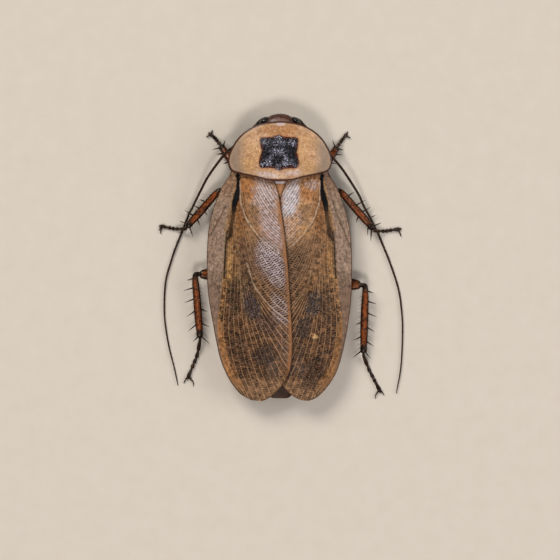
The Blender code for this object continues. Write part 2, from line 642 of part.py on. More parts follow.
# Each spine is (share of the shin, side, length, lean towards the foot in degrees, droop where it is not
# the usual one), and side is 1 on the outer or front side
LEGS = {
    "front_left": {
        "coxa_wide": 1.35,
        "coxa": ((-3.0, 19.0, 2.15), (-2.6, 15.3, 1.8)),
        "knee": (-6.9, 15.2, 2.9),
        "ankle": (-10.2, 19.35, 1.15),
        "foot": [(-10.6, 19.85), (-11.1, 20.5), (-11.6, 21.05), (-12.2, 21.5)],
        "claws": [(-12.85, 21.0), (-11.6, 22.0)],
        "spines": [
            (0.35, -1, 1.0, 15), (0.6, 1, 1.0, 20), (0.7, -1, 1.2, 25), (0.93, 1, 0.9, 35),
            (0.95, -1, 1.3, 20),
        ],
    },
    "front_right": {
        "coxa_wide": 1.35,
        "coxa": ((3.0, 19.0, 2.15), (2.6, 15.3, 1.8)),
        "knee": (6.8, 15.2, 2.9),
        "ankle": (9.9, 19.15, 1.15),
        "foot": [(10.3, 19.7), (10.7, 20.3), (11.1, 20.85), (11.5, 21.35)],
        "claws": [(12.25, 20.75), (11.85, 21.95)],
        "spines": [
            (0.35, -1, 1.0, 15), (0.6, 1, 0.9, 20), (0.7, -1, 1.2, 25), (0.93, 1, 1.15, 35),
            (0.95, -1, 0.9, 20),
        ],
    },
    "middle_left": {
        "coxa_wide": 1.2,
        "coxa": ((-3.4, 13.2, 2.15), (-3.0, 9.3, 1.7)),
        "knee": (-9.8, 11.4, 2.75),
        "ankle": (-16.15, 5.3, 1.9),
        "foot": [(-16.7, 5.15), (-18.2, 5.0), (-19.6, 5.25), (-20.7, 5.45)],
        "claws": [(-21.15, 4.8), (-20.6, 4.1)],
        "spines": [
            (0.36, 1, 1.15, 15, 0.7), (0.53, 1, 1.5, 15, 0.75), (0.73, 1, 1.8, 10, 0.85),
            (0.92, 1, 1.25, 25, -0.1), (0.5, -1, 1.0, 20), (0.72, -1, 1.3, 25), (0.94, -1, 1.7, 30),
        ],
    },
    "middle_right": {
        "coxa_wide": 1.2,
        "coxa": ((3.4, 13.2, 2.15), (3.0, 9.3, 1.7)),
        "knee": (9.6, 11.35, 2.75),
        "ankle": (16.2, 4.95, 1.9),
        "foot": [(16.75, 4.8), (18.2, 4.6), (19.5, 4.8), (20.8, 4.95)],
        "claws": [(21.35, 5.05), (21.15, 3.6)],
        "spines": [
            (0.18, 1, 1.3, 10, 0.7), (0.42, 1, 1.9, 12, 0.75), (0.6, 1, 1.7, 10, 0.95),
            (0.77, 1, 1.6, 15, -0.15), (0.94, 1, 1.4, 20, -0.1), (0.6, -1, 1.2, 25), (0.85, -1, 1.6, 45),
            (0.95, -1, 2.0, 45),
        ],
    },
    "hind_left": {
        "coxa_wide": 1.6,
        "coxa": ((-4.0, 6.3, 2.2), (-3.2, -2.1, 1.6)),
        "knee": (-13.9, -2.9, 3.1),
        "ankle": (-13.9, -13.9, 1.4),
        "foot": [(-13.95, -14.5), (-14.4, -16.9), (-15.1, -18.7), (-16.0, -20.9)],
        "claws": [(-16.75, -21.9), (-15.1, -22.4)],
        "spines": [
            (0.06, 1, 1.0, 10), (0.2, 1, 1.75, 12), (0.37, 1, 1.8, 18), (0.55, 1, 1.8, 30),
            (0.76, 1, 1.9, 35), (0.52, -1, 1.4, 28), (0.75, -1, 1.6, 30), (0.96, -1, 1.8, 45),
            (0.96, 1, 1.1, 40),
        ],
    },
    "hind_right": {
        "coxa_wide": 1.6,
        "coxa": ((4.0, 6.3, 2.2), (3.2, -2.9, 1.6)),
        "knee": (14.0, -4.8, 3.1),
        "ankle": (14.5, -16.6, 1.4),
        "foot": [(14.6, -17.2), (15.4, -19.3), (16.5, -21.5), (17.4, -23.2)],
        "claws": [(18.15, -24.0), (16.6, -24.6)],
        "spines": [
            (0.07, 1, 1.05, 15), (0.22, 1, 1.6, 15), (0.39, 1, 1.75, 20), (0.59, 1, 1.6, 30),
            (0.8, 1, 1.6, 32), (0.95, 1, 1.4, 50), (0.52, -1, 1.2, 25), (0.74, -1, 1.6, 25),
            (0.94, -1, 2.0, 40),
        ],
    },
}

# Profiles of (share of the length, half width, half height)
COXA = [
    (0.0, 0.7, 0.4), (0.12, 1.15, 0.56), (0.35, 1.25, 0.6), (0.6, 0.95, 0.54), (0.8, 0.55, 0.45),
    (1.0, 0.36, 0.34),
]
FEMUR = [
    (0.0, 0.28, 0.28), (0.05, 0.4, 0.38), (0.2, 0.48, 0.45), (0.38, 0.95, 0.56), (0.6, 1.12, 0.58),
    (0.84, 1.02, 0.55), (0.95, 0.8, 0.5), (1.0, 0.5, 0.4),
]
TIBIA = [
    (0.0, 0.3, 0.3), (0.05, 0.52, 0.46), (0.14, 0.52, 0.46), (0.35, 0.66, 0.46), (0.7, 0.68, 0.47),
    (0.89, 0.57, 0.48), (0.95, 0.6, 0.5), (1.0, 0.42, 0.38),
]
CLAW = [(0.0, 0.17, 0.17), (0.5, 0.13, 0.13), (1.0, 0.035, 0.035)]
TARSOMERES = [0.38, 0.15, 0.13, 0.11, 0.23]
TARSUS_WIDE = (0.4, 0.36)
TARSUS_HEIGHT = 0.33
TARSUS_NECK = 0.24
CLAW_TIP_HEIGHT = 0.1
SHIN_HALF = 0.53
SPINE_RADIUS = 0.17
SPINE_DROOP = 0.25
SPINE_SINK = 0.65
FOLD_ROOM = 0.9


def beyond(joint, before, after, radius):
    """Where a limb starts past a joint, so that it clears the end face of the limb before it."""
    cosine = before.dot(after)
    sine = math.sqrt(max(0.0, 1.0 - cosine * cosine))
    return joint + before * (GAP + radius * sine + FOLD_ROOM * max(0.0, -cosine))


def make_leg(name, leg):
    """Coxa, femur, spiny tibia and five-part foot, one closed solid each."""
    amber = (AMBER, 0.2)
    root, tip = (Vector(p) for p in leg["coxa"])
    knee, ankle = Vector(leg["knee"]), Vector(leg["ankle"])
    hips = [(t, wide * (1.0 + (leg["coxa_wide"] - 1.0) * (1.0 - t)), high) for t, wide, high in COXA]
    finish(limb(straight(root, tip, [row[0] for row in hips]), hips, 10), f"{name}_coxa", amber)
    down = (tip - root).normalized()
    thigh = (knee - tip).normalized()
    hip = beyond(tip, down, thigh, FEMUR[1][1])
    finish(limb(straight(hip, knee, [row[0] for row in FEMUR]), FEMUR, 10), f"{name}_femur", amber)
    thigh = (knee - hip).normalized()
    shin = (ankle - knee).normalized()
    start = beyond(knee, thigh, shin, TIBIA[1][1])
    shin = (ankle - start).normalized()
    tibia = finish(limb(straight(start, ankle, [row[0] for row in TIBIA]), TIBIA, 8), f"{name}_tibia", amber)
    level = Vector((shin.x, shin.y, 0.0)).normalized()
    across = Vector((level.y, -level.x, 0.0)) * (1 if name.endswith("left") else -1)
    spines = []
    for t, sign, length, lean, *low in leg["spines"]:
        wide, _ = profile(TIBIA, t)
        angle = math.radians(lean)
        out = across * sign * math.cos(angle) + level * math.sin(angle)
        base = start.lerp(ankle, t)
        droop = Vector((0, 0, -(low[0] if low else SPINE_DROOP) * length))
        sunk = base + out * (wide * (1.0 - SPINE_SINK))
        spines.append(spine(sunk, base + out * (SHIN_HALF + length) + droop, SPINE_RADIUS))
    fuse(tibia, spines, amber)
    make_foot(name, leg, shin, ankle)


def make_foot(name, leg, shin, ankle):
    """Five pads on the floor and two hooked claws."""
    look = (DARK_BROWN, 0.25)
    points = [Vector((x, y, TARSUS_HEIGHT)) for x, y in leg["foot"]]
    ahead = (points[1] - points[0]).normalized()
    points[0] = beyond(ankle, shin, ahead, TARSUS_NECK)
    path = smooth_path(points, 0.3)
    table, t = [(0.0, 0.2, 0.2)], 0.0
    for part in TARSOMERES:
        end = t + part
        table.append((t + 0.03, 0.27, 0.25))
        table.append((end - 0.035, *TARSUS_WIDE))
        table.append((end - 0.001, TARSUS_NECK, TARSUS_NECK))
        t = end
    table[-1] = (1.0, TARSUS_NECK, TARSUS_NECK)
    foot = finish(limb(path, table, 8, floor=0.0), f"{name}_foot", look)
    last = path[-1]
    heading = (path[-1] - path[-3]).normalized()
    hooks = []
    for x, y in leg["claws"]:
        tip = Vector((x, y, CLAW_TIP_HEIGHT))
        knuckle = last.lerp(tip, 0.55) + heading * 0.12 + Vector((0, 0, 0.22))
        hook = smooth_path([last - heading * 0.25, knuckle, tip], 0.4)
        hooks.append(limb(hook, CLAW, 5, floor=0.0))
    fuse(foot, hooks, look)


def main():
    clear_scene()
    make_pronotum()
    make_tegmen("left", TEGMEN_LEFT_COSTA, TEGMEN_LEFT_SUTURE)
    make_tegmen("right", TEGMEN_RIGHT_COSTA, TEGMEN_RIGHT_SUTURE)
    make_thorax()
    make_abdomen()
    make_head()
    make_mouth()
    for side, sign in (("left", -1), ("right", 1)):
        make_hindwing(side, sign)
        make_cercus(side, sign)
        make_antenna(side)
    for name, leg in LEGS.items():
        make_leg(name, leg)


main()
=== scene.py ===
# %% [markdown]
# # A large forest cockroach, life size
# This lesson dresses a plain solid model of a cockroach that stands with its wings folded. The head
# points to +Y. Each part of the lesson makes one kind of piece, and every finished piece lies where its
# plain solids lie. Sizes are in millimetres here and turned into metres when a piece is placed.

# %% Load the plain model
import math

import bmesh
import bpy
import numpy as np
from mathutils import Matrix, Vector, geometry, noise


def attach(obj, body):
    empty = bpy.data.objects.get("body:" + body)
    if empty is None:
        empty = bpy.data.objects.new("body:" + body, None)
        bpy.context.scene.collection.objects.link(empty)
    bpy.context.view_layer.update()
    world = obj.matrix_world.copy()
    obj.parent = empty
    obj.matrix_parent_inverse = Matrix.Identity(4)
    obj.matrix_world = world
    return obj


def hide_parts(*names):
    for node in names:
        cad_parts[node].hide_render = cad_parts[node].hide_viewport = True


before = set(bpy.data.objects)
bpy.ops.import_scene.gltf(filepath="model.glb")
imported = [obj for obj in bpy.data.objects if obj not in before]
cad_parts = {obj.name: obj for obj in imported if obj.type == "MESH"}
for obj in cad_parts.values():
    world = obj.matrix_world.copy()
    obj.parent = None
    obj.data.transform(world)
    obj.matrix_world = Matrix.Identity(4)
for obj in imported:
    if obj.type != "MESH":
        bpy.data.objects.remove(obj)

scene = bpy.context.scene
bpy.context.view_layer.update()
MM = 0.001
UNIT = 0.173  # one unit of the plan drawing in millimetres
PLAN_MIDDLE = (280.0, 257.5)  # the middle of the animal in the plan drawing
UP = Vector((0.0, 0.0, 1.0))
JAW_GAP = 0.14  # half the room between the two jaws
SIDES = (("left", -1), ("right", 1))
print("plain model:", len(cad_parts), "nodes")

# %% [markdown]
# ## Curves and tables
# Outlines and veins are read off a plan drawing of the animal whose unit is 0.173 mm. A few points are
# enough for a smooth line, so one helper runs a curve through them and spaces new points evenly on it.
# The same curve makes a short table of widths into a smooth profile, which leaves no creases.


# %% Curve helpers
def plan(points):
    """Points of the plan drawing in millimetres from the middle of the animal."""
    return [((x - PLAN_MIDDLE[0]) * UNIT, (PLAN_MIDDLE[1] - y) * UNIT) for x, y in points]


def drawing(spots, side):
    """Millimetres to units of the plan drawing, mirrored so that a right wing reads as a left one."""
    x = PLAN_MIDDLE[0] + spots[:, 0] / UNIT * (1 if side == "left" else -1)
    return np.stack([x, PLAN_MIDDLE[1] - spots[:, 1] / UNIT], axis=1)


def walked(path):
    """How far along a path each of its points lies."""
    return np.concatenate([[0.0], np.cumsum(np.linalg.norm(np.diff(path, axis=0), axis=1))])


def curve(points, count):
    """Evenly spaced points on a smooth curve through the given ones."""
    pts = np.array(points, float)
    ends = np.vstack([2 * pts[0] - pts[1], pts, 2 * pts[-1] - pts[-2]])
    t = np.linspace(0, 1, 16, endpoint=False)[:, None]
    runs = []
    for a, b, c, d in zip(ends, ends[1:], ends[2:], ends[3:]):
        bend = (2 * a - 5 * b + 4 * c - d) * t**2 + (3 * b - a - 3 * c + d) * t**3
        runs.append(0.5 * (2 * b + (c - a) * t + bend))
    dense = np.vstack(runs + [pts[-1:]])
    reach = walked(dense)
    want = np.linspace(0.0, reach[-1], count)
    return np.stack([np.interp(want, reach, column) for column in dense.T], axis=1)


def profile(rows):
    """A short table as a function that runs smoothly through its rows."""
    dense = curve(sorted(rows), 300)
    return lambda place: [np.interp(place, dense[:, 0], column) for column in dense.T[1:]]


def soft_step(t):
    """A smooth rise from 0 to 1 while t goes from 0 to 1."""
    t = np.clip(t, 0.0, 1.0)
    return t * t * (3.0 - 2.0 * t)


def side_of(points, path):
    """Distance from each point to a path in plan, positive on the left of the way it runs."""
    best, sign = np.full(len(points), 1e9), np.ones(len(points))
    for a, b in zip(path, path[1:]):
        d = b - a
        t = np.clip((points - a) @ d / (d @ d), 0.0, 1.0)
        off = points - a - t[:, None] * d
        far = np.hypot(off[:, 0], off[:, 1])
        turn = np.sign(d[0] * (points[:, 1] - a[1]) - d[1] * (points[:, 0] - a[0]))
        sign = np.where(far < best, turn, sign)
        best = np.minimum(best, far)
    return best * sign


def depth_in(points, loop):
    """Distance to a closed outline, positive inside it."""
    within = np.zeros(len(points), bool)
    for (ax, ay), (bx, by) in zip(loop, loop[1:]):
        crossed = (ay > points[:, 1]) != (by > points[:, 1])
        if ay != by:
            within ^= crossed & (points[:, 0] < ax + (points[:, 1] - ay) * (bx - ax) / (by - ay))
    return np.abs(side_of(points, loop)) * np.where(within, 1.0, -1.0)


print("drawing unit:", UNIT, "mm")

# %% [markdown]
# ## Skins over rings
# Legs, feelers, head and trunk are all bodies whose cross-section changes along a line. A grid that is
# wrapped round the line, closed along its seam and filled at its ends gives full control of every
# section and keeps the faces even. Each ring also carries two numbers for the finish: how dark it is
# painted there, and the ring's own place on the body.


# %% Ring skins
class Skin:
    """A mesh in millimetres that grows from closed skins."""

    def __init__(self):
        self.bm = bmesh.new()
        self.tone = self.bm.verts.layers.float.new("tone")
        self.run = self.bm.verts.layers.float.new("run")

    def wrap(self, rings, sides, tone, square=1.0):
        """A closed skin over rings of (middle, half side, half up, place). tone says how dark it is."""
        middle, side, up = (np.array([ring[k] for ring in rings])[:, None, :] for k in range(3))
        angle = np.arange(sides) * math.tau / sides
        round_x, round_y = np.cos(angle), np.sin(angle)
        boxy_x, boxy_y = (np.sign(c) * np.abs(c) ** square for c in (round_x, round_y))
        points = middle + side * boxy_x[None, :, None] + up * boxy_y[None, :, None]
        last = len(rings) - 1
        made = bmesh.ops.create_grid(self.bm, x_segments=sides, y_segments=last, size=0.5)["verts"]
        for vert in made:
            i, j = round((vert.co.y + 0.5) * last), round((vert.co.x + 0.5) * sides) % sides
            vert[self.run] = rings[i][3]
            vert[self.tone] = tone(rings[i][3], round_x[j], round_y[j]) if callable(tone) else tone
            vert.co = points[i, j]
        bmesh.ops.remove_doubles(self.bm, verts=made, dist=1e-6)
        rims = [edge for edge in self.bm.edges if edge.is_boundary]
        bmesh.ops.holes_fill(self.bm, edges=rims, sides=0)

    def stack(self, table, heights, sides, tone, square, offset=0.0):
        """A closed skin over level rings. table gives middle, half width and half depth at a height."""
        rings = []
        for z in heights:
            y, wide, deep = table(z)
            rings.append(((offset * (wide + JAW_GAP), y, z), (wide, 0.0, 0.0), (0.0, deep, 0.0), z))
        self.wrap(rings, sides, tone, square)

    def tube(self, path, size, sides, tone):
        """A closed skin along a path. size gives half width and half height at a share of the way."""
        path = np.array(path, float)
        index = np.arange(len(path))
        ahead = path[np.minimum(index + 1, index[-1])] - path[np.maximum(index - 1, 0)]
        side = np.cross(ahead, (0.0, 0.0, 1.0))
        side /= np.linalg.norm(side, axis=1)[:, None]
        up = np.cross(side, ahead)
        up /= np.linalg.norm(up, axis=1)[:, None]
        reach = walked(path)
        rings = []
        for point, across, rise, t in zip(path, side, up, reach / reach[-1]):
            wide, high = size(t)
            rings.append((point, across * wide, rise * high, t))
        self.wrap(rings, sides, tone)

    def ball(self, centre, half, tone, segments=16):
        rows = segments * 3 // 4
        made = bmesh.ops.create_uvsphere(
            self.bm, u_segments=segments, v_segments=rows, radius=1.0
        )["verts"]
        for vert in made:
            vert[self.tone] = tone
        bmesh.ops.scale(self.bm, vec=half, verts=made)
        bmesh.ops.translate(self.bm, vec=centre, verts=made)


def stretch_grid(bm, cells, inner, outer):
    """A grid between two lines. Gives the place of each vertex and its share of the way across."""
    bmesh.ops.create_grid(bm, x_segments=cells[0], y_segments=cells[1], size=0.5)
    across, back = (np.array([vert.co[:2] for vert in bm.verts]) + 0.5).T
    near, far = (
        np.stack([np.interp(back, np.linspace(0, 1, len(line)), line[:, k]) for k in (0, 1)], axis=1)
        for line in (inner, outer)
    )
    return near + (far - near) * across[:, None], across


def thicken(bm, thin, more=0.0, to_edge=None, soft=1.0):
    """Close a sheet downwards into a plate that is thin at its edge and thicker by more inside."""
    grown = bmesh.ops.extrude_face_region(bm, geom=list(bm.faces))
    for vert in grown["geom"]:
        if isinstance(vert, bmesh.types.BMVert):
            inside = 0.0 if to_edge is None else float(soft_step(vert[to_edge] / soft))
            vert.co.z -= thin + more * inside


def place(bm, name, slot, nodes, look, sharp=50.0):
    """Turn a mesh in millimetres into a finished piece in metres that stands for its plain solids."""
    bmesh.ops.recalc_face_normals(bm, faces=bm.faces)
    bmesh.ops.scale(bm, vec=(MM, MM, MM), verts=bm.verts)
    mesh = bpy.data.meshes.new(name)
    bm.to_mesh(mesh)
    bm.free()
    mesh.shade_smooth()
    mesh.set_sharp_from_angle(angle=math.radians(sharp))
    mesh.materials.append(look)
    piece = bpy.data.objects.new(name, mesh)
    scene.collection.objects.link(piece)
    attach(piece, "root")
    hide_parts(*nodes)
    mesh.calc_loop_triangles()
    print(name, len(mesh.loop_triangles), "triangles")
    return piece


print("skins: wrap, stack, tube, ball")

# %% [markdown]
# ## Shader sums
# A finish is easier to read as sums in Python than as a web of nodes. One small class wraps a socket,
# so that adding or multiplying two values adds the Math node for it. Every other node comes from one
# method that takes the node's type, its settings and its sockets.


# %% Shader helpers
class Value:
    """A shader socket that takes part in sums."""

    def __init__(self, finish, socket):
        self.finish, self.socket = finish, socket

    def sum(self, operation, *values):
        return self.finish.add("ShaderNodeMath", {"operation": operation}, dict(enumerate(values)))

    def __add__(self, other):
        return self.sum("ADD", self, other)

    def __mul__(self, other):
        return self.sum("MULTIPLY", self, other)

    def __sub__(self, other):
        return self.sum("SUBTRACT", self, other)

    def __rsub__(self, other):
        return self.sum("SUBTRACT", other, self)

    __radd__, __rmul__ = __add__, __mul__

    def part(self, operation):
        return self.sum(operation, self)

    def maximum(self, other):
        return self.sum("MAXIMUM", self, other)

    def off_half(self):
        """Distance to the middle between two whole numbers."""
        return (self.part("FRACT") - 0.5).part("ABSOLUTE")

    def step(self, low, high):
        """A smooth rise from 0 at low to 1 at high, or a fall where low is the larger."""
        sockets = {"Value": self, "From Min": low, "From Max": high}
        return self.finish.add("ShaderNodeMapRange", {"interpolation_type": "SMOOTHSTEP"}, sockets)


class Finish:
    """A Principled material. Fixed values are set on its own sockets."""

    def __init__(self, name, fixed):
        self.made = bpy.data.materials.new(name)
        self.made.use_nodes = True
        self.tree = self.made.node_tree
        self.shader = self.tree.nodes["Principled BSDF"]
        for socket, value in fixed.items():
            self.shader.inputs[socket].default_value = value
        self.spot = self.add("ShaderNodeTexCoord", {}, {}, "Object")

    def add(self, kind, settings, sockets, out=0):
        node = self.tree.nodes.new(kind)
        for key, value in settings.items():
            setattr(node, key, value)
        for key, value in sockets.items():
            if isinstance(value, Value):
                self.tree.links.new(value.socket, node.inputs[key])
            else:
                node.inputs[key].default_value = value
        return Value(self, node.outputs[out])

    def feed(self, **links):
        for key, value in links.items():
            self.tree.links.new(value.socket, self.shader.inputs[key.replace("_", " ")])
        return self.made

    def noise(self, size, detail=3.0, rough=0.6):
        """Soft noise whose lumps are about size millimetres across."""
        sockets = {
            "Vector": self.spot, "Scale": 1.0 / (size * MM), "Detail": detail, "Roughness": rough,
        }
        return self.add("ShaderNodeTexNoise", {}, sockets)

    def sway(self, size, width, detail=3.0, rough=0.6):
        """Noise that swings evenly to both sides, to bend a line or an edge."""
        return (self.noise(size, detail, rough) - 0.5) * width

    def cells(self, size, randomness=1.0):
        sockets = {"Vector": self.spot, "Scale": 1.0 / (size * MM), "Randomness": randomness}
        return self.add("ShaderNodeTexVoronoi", {"feature": "F1"}, sockets)

    def reading(self, name, out="Fac"):
        return self.add("ShaderNodeAttribute", {"attribute_name": name}, {}, out)

    def millimetres(self, axis):
        """A coordinate of the point: 0 across, 1 along, 2 up."""
        return self.add("ShaderNodeSeparateXYZ", {}, {"Vector": self.spot}, axis) * (1.0 / MM)

    def mix(self, factor, a, b):
        """A blend of two colours, each a socket or a screen colour of 0 to 255."""
        a, b = (shade(*colour) if isinstance(colour, tuple) else colour for colour in (a, b))
        return self.add("ShaderNodeMix", {"data_type": "RGBA"}, {0: factor, 6: a, 7: b}, 2)

    def bump(self, height, depth):
        """A normal from a height between 0 and 1, which stands for depth millimetres."""
        sockets = {"Height": height, "Distance": depth * MM, "Strength": 1.0}
        return self.add("ShaderNodeBump", {}, sockets)

    def cover(self, colour, rough, height, depth, **more):
        """Feed a colour, a bump and a roughness, given as (size, spread, least) or as a sum."""
        if isinstance(rough, tuple):
            size, spread, least = rough
            rough = self.noise(size) * spread + least
        return self.feed(Base_Color=colour, Roughness=rough, Normal=self.bump(height, depth), **more)


def shade(red, green, blue):
    """A screen colour of 0 to 255 as linear light."""
    parts = [c / 255.0 for c in (red, green, blue)]
    return (*[p / 12.92 if p <= 0.04045 else ((p + 0.055) / 1.055) ** 2.4 for p in parts], 1.0)


print("middle grey as light:", round(shade(128, 128, 128)[0], 3))

# %% [markdown]
# ## Camera, floor and light
# The animal is seen from straight above. A long lens far away keeps high and low parts at the same
# scale. The floor is plain and pale, and large soft lamps give the wings the long quiet sheen that
# shows how they curve.

# %% Camera, floor and light
VIEW_UNITS = 560  # width of the picture in units of the plan drawing
VIEW_WIDTH = VIEW_UNITS * UNIT
VIEW_HEIGHT = 1000.0
BACK_HEIGHT = 5.0
SENSOR = 36.0
camera_data = bpy.data.cameras.new("camera")
camera_data.sensor_width = SENSOR
camera_data.lens = SENSOR * VIEW_HEIGHT / VIEW_WIDTH
camera_data.clip_start = 0.01
camera_data.clip_end = 10.0
camera = bpy.data.objects.new("camera", camera_data)
picture_middle = plan([(VIEW_UNITS / 2, VIEW_UNITS / 2)])[0]
camera.location = (0.0, picture_middle[1] * MM, (VIEW_HEIGHT + BACK_HEIGHT) * MM)
scene.collection.objects.link(camera)
scene.camera = camera

floor_bm = bmesh.new()
bmesh.ops.create_grid(floor_bm, x_segments=1, y_segments=1, size=3.0)
floor_mesh = bpy.data.meshes.new("floor")
floor_bm.to_mesh(floor_mesh)
floor_bm.free()
floor = bpy.data.objects.new("floor", floor_mesh)
scene.collection.objects.link(floor)
floor_finish = Finish("pale_floor", {"Roughness": 0.75, "Specular IOR Level": 0.2})
grain = floor_finish.noise(3.0)
floor_mesh.materials.append(
    floor_finish.feed(Base_Color=floor_finish.mix(grain, (206, 196, 182), (214, 205, 192)))
)

# Name, place in metres, size, power, colour
LAMPS = [
    ("key", (-0.5, 0.8, 1.05), 0.6, 12.0, (1.0, 0.97, 0.92)),
    ("back", (-0.05, -0.68, 1.3), 0.3, 8.0, (1.0, 0.95, 0.95)),
    ("fill", (1.05, 0.1, 0.85), 0.9, 7.0, (0.98, 0.98, 1.0)),
]
for name, spot, size, power, colour in LAMPS:
    lamp_data = bpy.data.lights.new(name, "AREA")
    lamp_data.size = size
    lamp_data.energy = power
    lamp_data.color = colour
    lamp = bpy.data.objects.new(name, lamp_data)
    lamp.location = spot
    lamp.rotation_euler = (-Vector(spot)).to_track_quat("-Z", "Y").to_euler()
    scene.collection.objects.link(lamp)
world = bpy.data.worlds.new("soft_room")
world.use_nodes = True
room_light = world.node_tree.nodes["Background"].inputs
room_light["Color"].default_value = (0.95, 0.97, 1.0, 1.0)
room_light["Strength"].default_value = 0.12
scene.world = world
scene.view_settings.view_transform = "Standard"
print("lens", round(camera_data.lens), "mm")

# %% [markdown]
# ## Paint by place
# The shield and the wings have marks at definite places, among them painted highlights and shadow.
# These are laid down as soft ellipses, strokes and bands in the units of the plan drawing, and kept as
# a colour on every vertex. The finishes add the fine grain on top, so the marks look grown and not
# printed.

# %% Paint helpers
def layer(bm, name, values):
    """Store one number for each vertex, under a name that the finish reads."""
    store = bm.verts.layers.float.new(name)
    for vert, value in zip(bm.verts, values):
        vert[store] = value
    return store


def lumps(spots, size, seed):
    """Noise of about -0.5 to 0.5 at each point, in lumps of a given size."""
    return np.array([noise.noise(Vector((x / size, y / size, seed))) for x, y in spots])


def drift(spots, lumpings, far):
    """A shift for each point. lumpings gives size and seed of the noise across and along."""
    return np.stack([lumps(spots, size, seed) for size, seed in lumpings], axis=1) * far


def patch(spots, middle, half, turn):
    """How much of a soft-edged ellipse covers each point."""
    c, s = math.cos(math.radians(turn)), math.sin(math.radians(turn))
    x, y = (spots - np.array(middle)).T
    return soft_step((1.4 - np.hypot((x * c + y * s) / half[0], (y * c - x * s) / half[1])) / 0.8)


def stroke(spots, path, half):
    """How much of a soft-edged line covers each point."""
    return soft_step(1.5 - np.abs(side_of(spots, np.array(path, float))) / half)


def within(y, low, high, soft):
    """1 between low and high and 0 outside, with soft ends."""
    return soft_step((y - low) / soft + 0.5) * soft_step((high - y) / soft + 0.5)


def blend(colours, *coats):
    """Lay coats of (weight at each point, screen colour) over the colours, one after the other."""
    for weight, colour in coats:
        goal = np.array(shade(*colour)[:3])
        colours = colours + (goal - colours) * np.clip(weight, 0.0, 1.0)[:, None]
    return colours


def tints(spots, rows):
    """Coats from rows of (middle, half sizes, turn, colour, strength)."""
    return [(gain * patch(spots, spot, half, turn), colour) for spot, half, turn, colour, gain in rows]


def colour_layer(bm, name, rows):
    store = bm.verts.layers.float_color.new(name)
    for vert, row in zip(bm.verts, rows):
        vert[store] = row


print("paint: patch, stroke, within, blend")

# %% [markdown]
# ## Shield
# The pronotum is one domed plate that hides the neck and most of the head. These tables hold its
# outline, the outline of its black mark, its soft patches of colour, among them painted highlights at
# its front and hind edges, and the knobs of the mark. The outline is in millimetres, and the others are
# in units of the plan drawing.

# %% Shield tables
SHIELD_HALF = [
    (0.0, 23.55), (2.0, 23.35), (3.9, 22.9), (5.6, 22.05), (7.0, 20.9), (8.1, 19.4), (8.85, 17.7),
    (9.0, 16.2), (8.4, 15.0), (7.0, 14.45), (4.2, 13.85), (2.0, 13.3), (0.0, 13.2),
]
SHIELD_CENTRE = (0.0, 17.8)
SHIELD_TOP, SHIELD_LIMIT = 9.03, 9.08
HIND_RIM, FRONT_RIM = (8.3, 2.1), (7.3, 0.9)  # height in the middle, and the fall towards the sides
RIM_BEAD = (0.05, 0.22)  # height and width
SHIELD_SPOKES = 240
SHIELD_COLOUR = (206, 162, 118)
MARK = plan([
    (260.8, 138.2), (266, 137.6), (271.8, 137.6), (274.6, 136.4), (279.5, 135.2), (283.5, 137.2),
    (290, 137.6), (296.4, 137.8), (298, 139.5), (298.1, 143), (297.7, 147.5), (296.9, 153),
    (298.1, 158.8), (299, 162.8), (298.3, 167), (295.3, 168.4), (289, 168.5), (284, 169.1),
    (279, 170.8), (274.5, 168.8), (270, 168), (264, 168.5), (259.8, 167.3), (259.1, 162),
    (260.3, 156), (262.1, 152), (260.9, 146.7), (259.8, 141),
])
MARK_LOOP = np.array(MARK + MARK[:1])
RIGHT_RIM = curve(SHIELD_HALF, 90)
SHIELD_RIM = np.vstack([RIGHT_RIM, RIGHT_RIM[-2::-1] * (-1, 1)])

# Each tint: middle, half sizes, turn in degrees, colour, strength. A few are painted highlights.
SHIELD_TINTS_AND_HIGHLIGHTS = [
    ((279, 129), (20, 9), 0, (174, 118, 66), 0.75),
    # Painted highlight: a whitish patch just behind the front edge
    ((279.8, 123.4), (5.5, 2.8), 0, (216, 200, 204), 0.9),
    ((258, 150), (7, 16), 0, (206, 158, 106), 0.5),
    ((304, 152), (8, 16), 0, (208, 160, 108), 0.5),
    ((247, 166), (10, 8), -15, (208, 160, 104), 0.6),
    ((312, 168), (10, 6), 10, (208, 162, 106), 0.5),
    # Painted sheen: pale pinkish and whitish patches along the hind edge
    ((279, 175), (22, 5), 0, (198, 156, 118), 0.7),
    ((267, 175.5), (10, 3), 8, (222, 204, 200), 0.75),
    ((293, 173.8), (8, 3), -12, (218, 198, 190), 0.65),
    ((279, 179), (12, 2), 0, (184, 126, 90), 0.7),
    ((259, 133), (1.6, 4), 8, (128, 86, 56), 0.5),
    ((298.5, 132), (1.6, 5), -8, (128, 86, 56), 0.5),
    ((250.5, 156), (1.4, 1.8), 0, (142, 92, 52), 0.5),
    ((307, 147), (1.8, 1.4), 0, (150, 100, 60), 0.5),
    ((244, 151), (2, 3), 20, (160, 112, 66), 0.4),
    ((313, 158), (2, 3), -20, (156, 108, 64), 0.4),
]
# The glossy knobs of the black mark, with painted sheen and glints: middle, half sizes, turn, strength
KNOBS = [
    ((279, 137.5), (4.5, 2.6), 0, 1.0), ((279, 143.5), (7, 3), 0, 0.55),
    ((266, 143.5), (4, 3.2), 20, 0.7), ((292, 143), (4, 3.4), -20, 0.8),
    ((278.5, 152), (7.5, 3), 0, 1.0), ((272, 157), (2.2, 3.5), 30, 0.8),
    ((285, 157), (2.2, 3.5), -30, 0.8), ((267.5, 163), (4.5, 3), 20, 0.9),
    ((287.5, 163), (5.5, 3), -15, 1.0),
    ((278, 167), (2.4, 3), 0, 0.9), ((295, 165), (2, 2), 0, 0.6), ((262, 165), (2, 2), 0, 0.6),
]

print("shield:", len(SHIELD_TINTS_AND_HIGHLIGHTS), "patches and", len(KNOBS), "knobs")

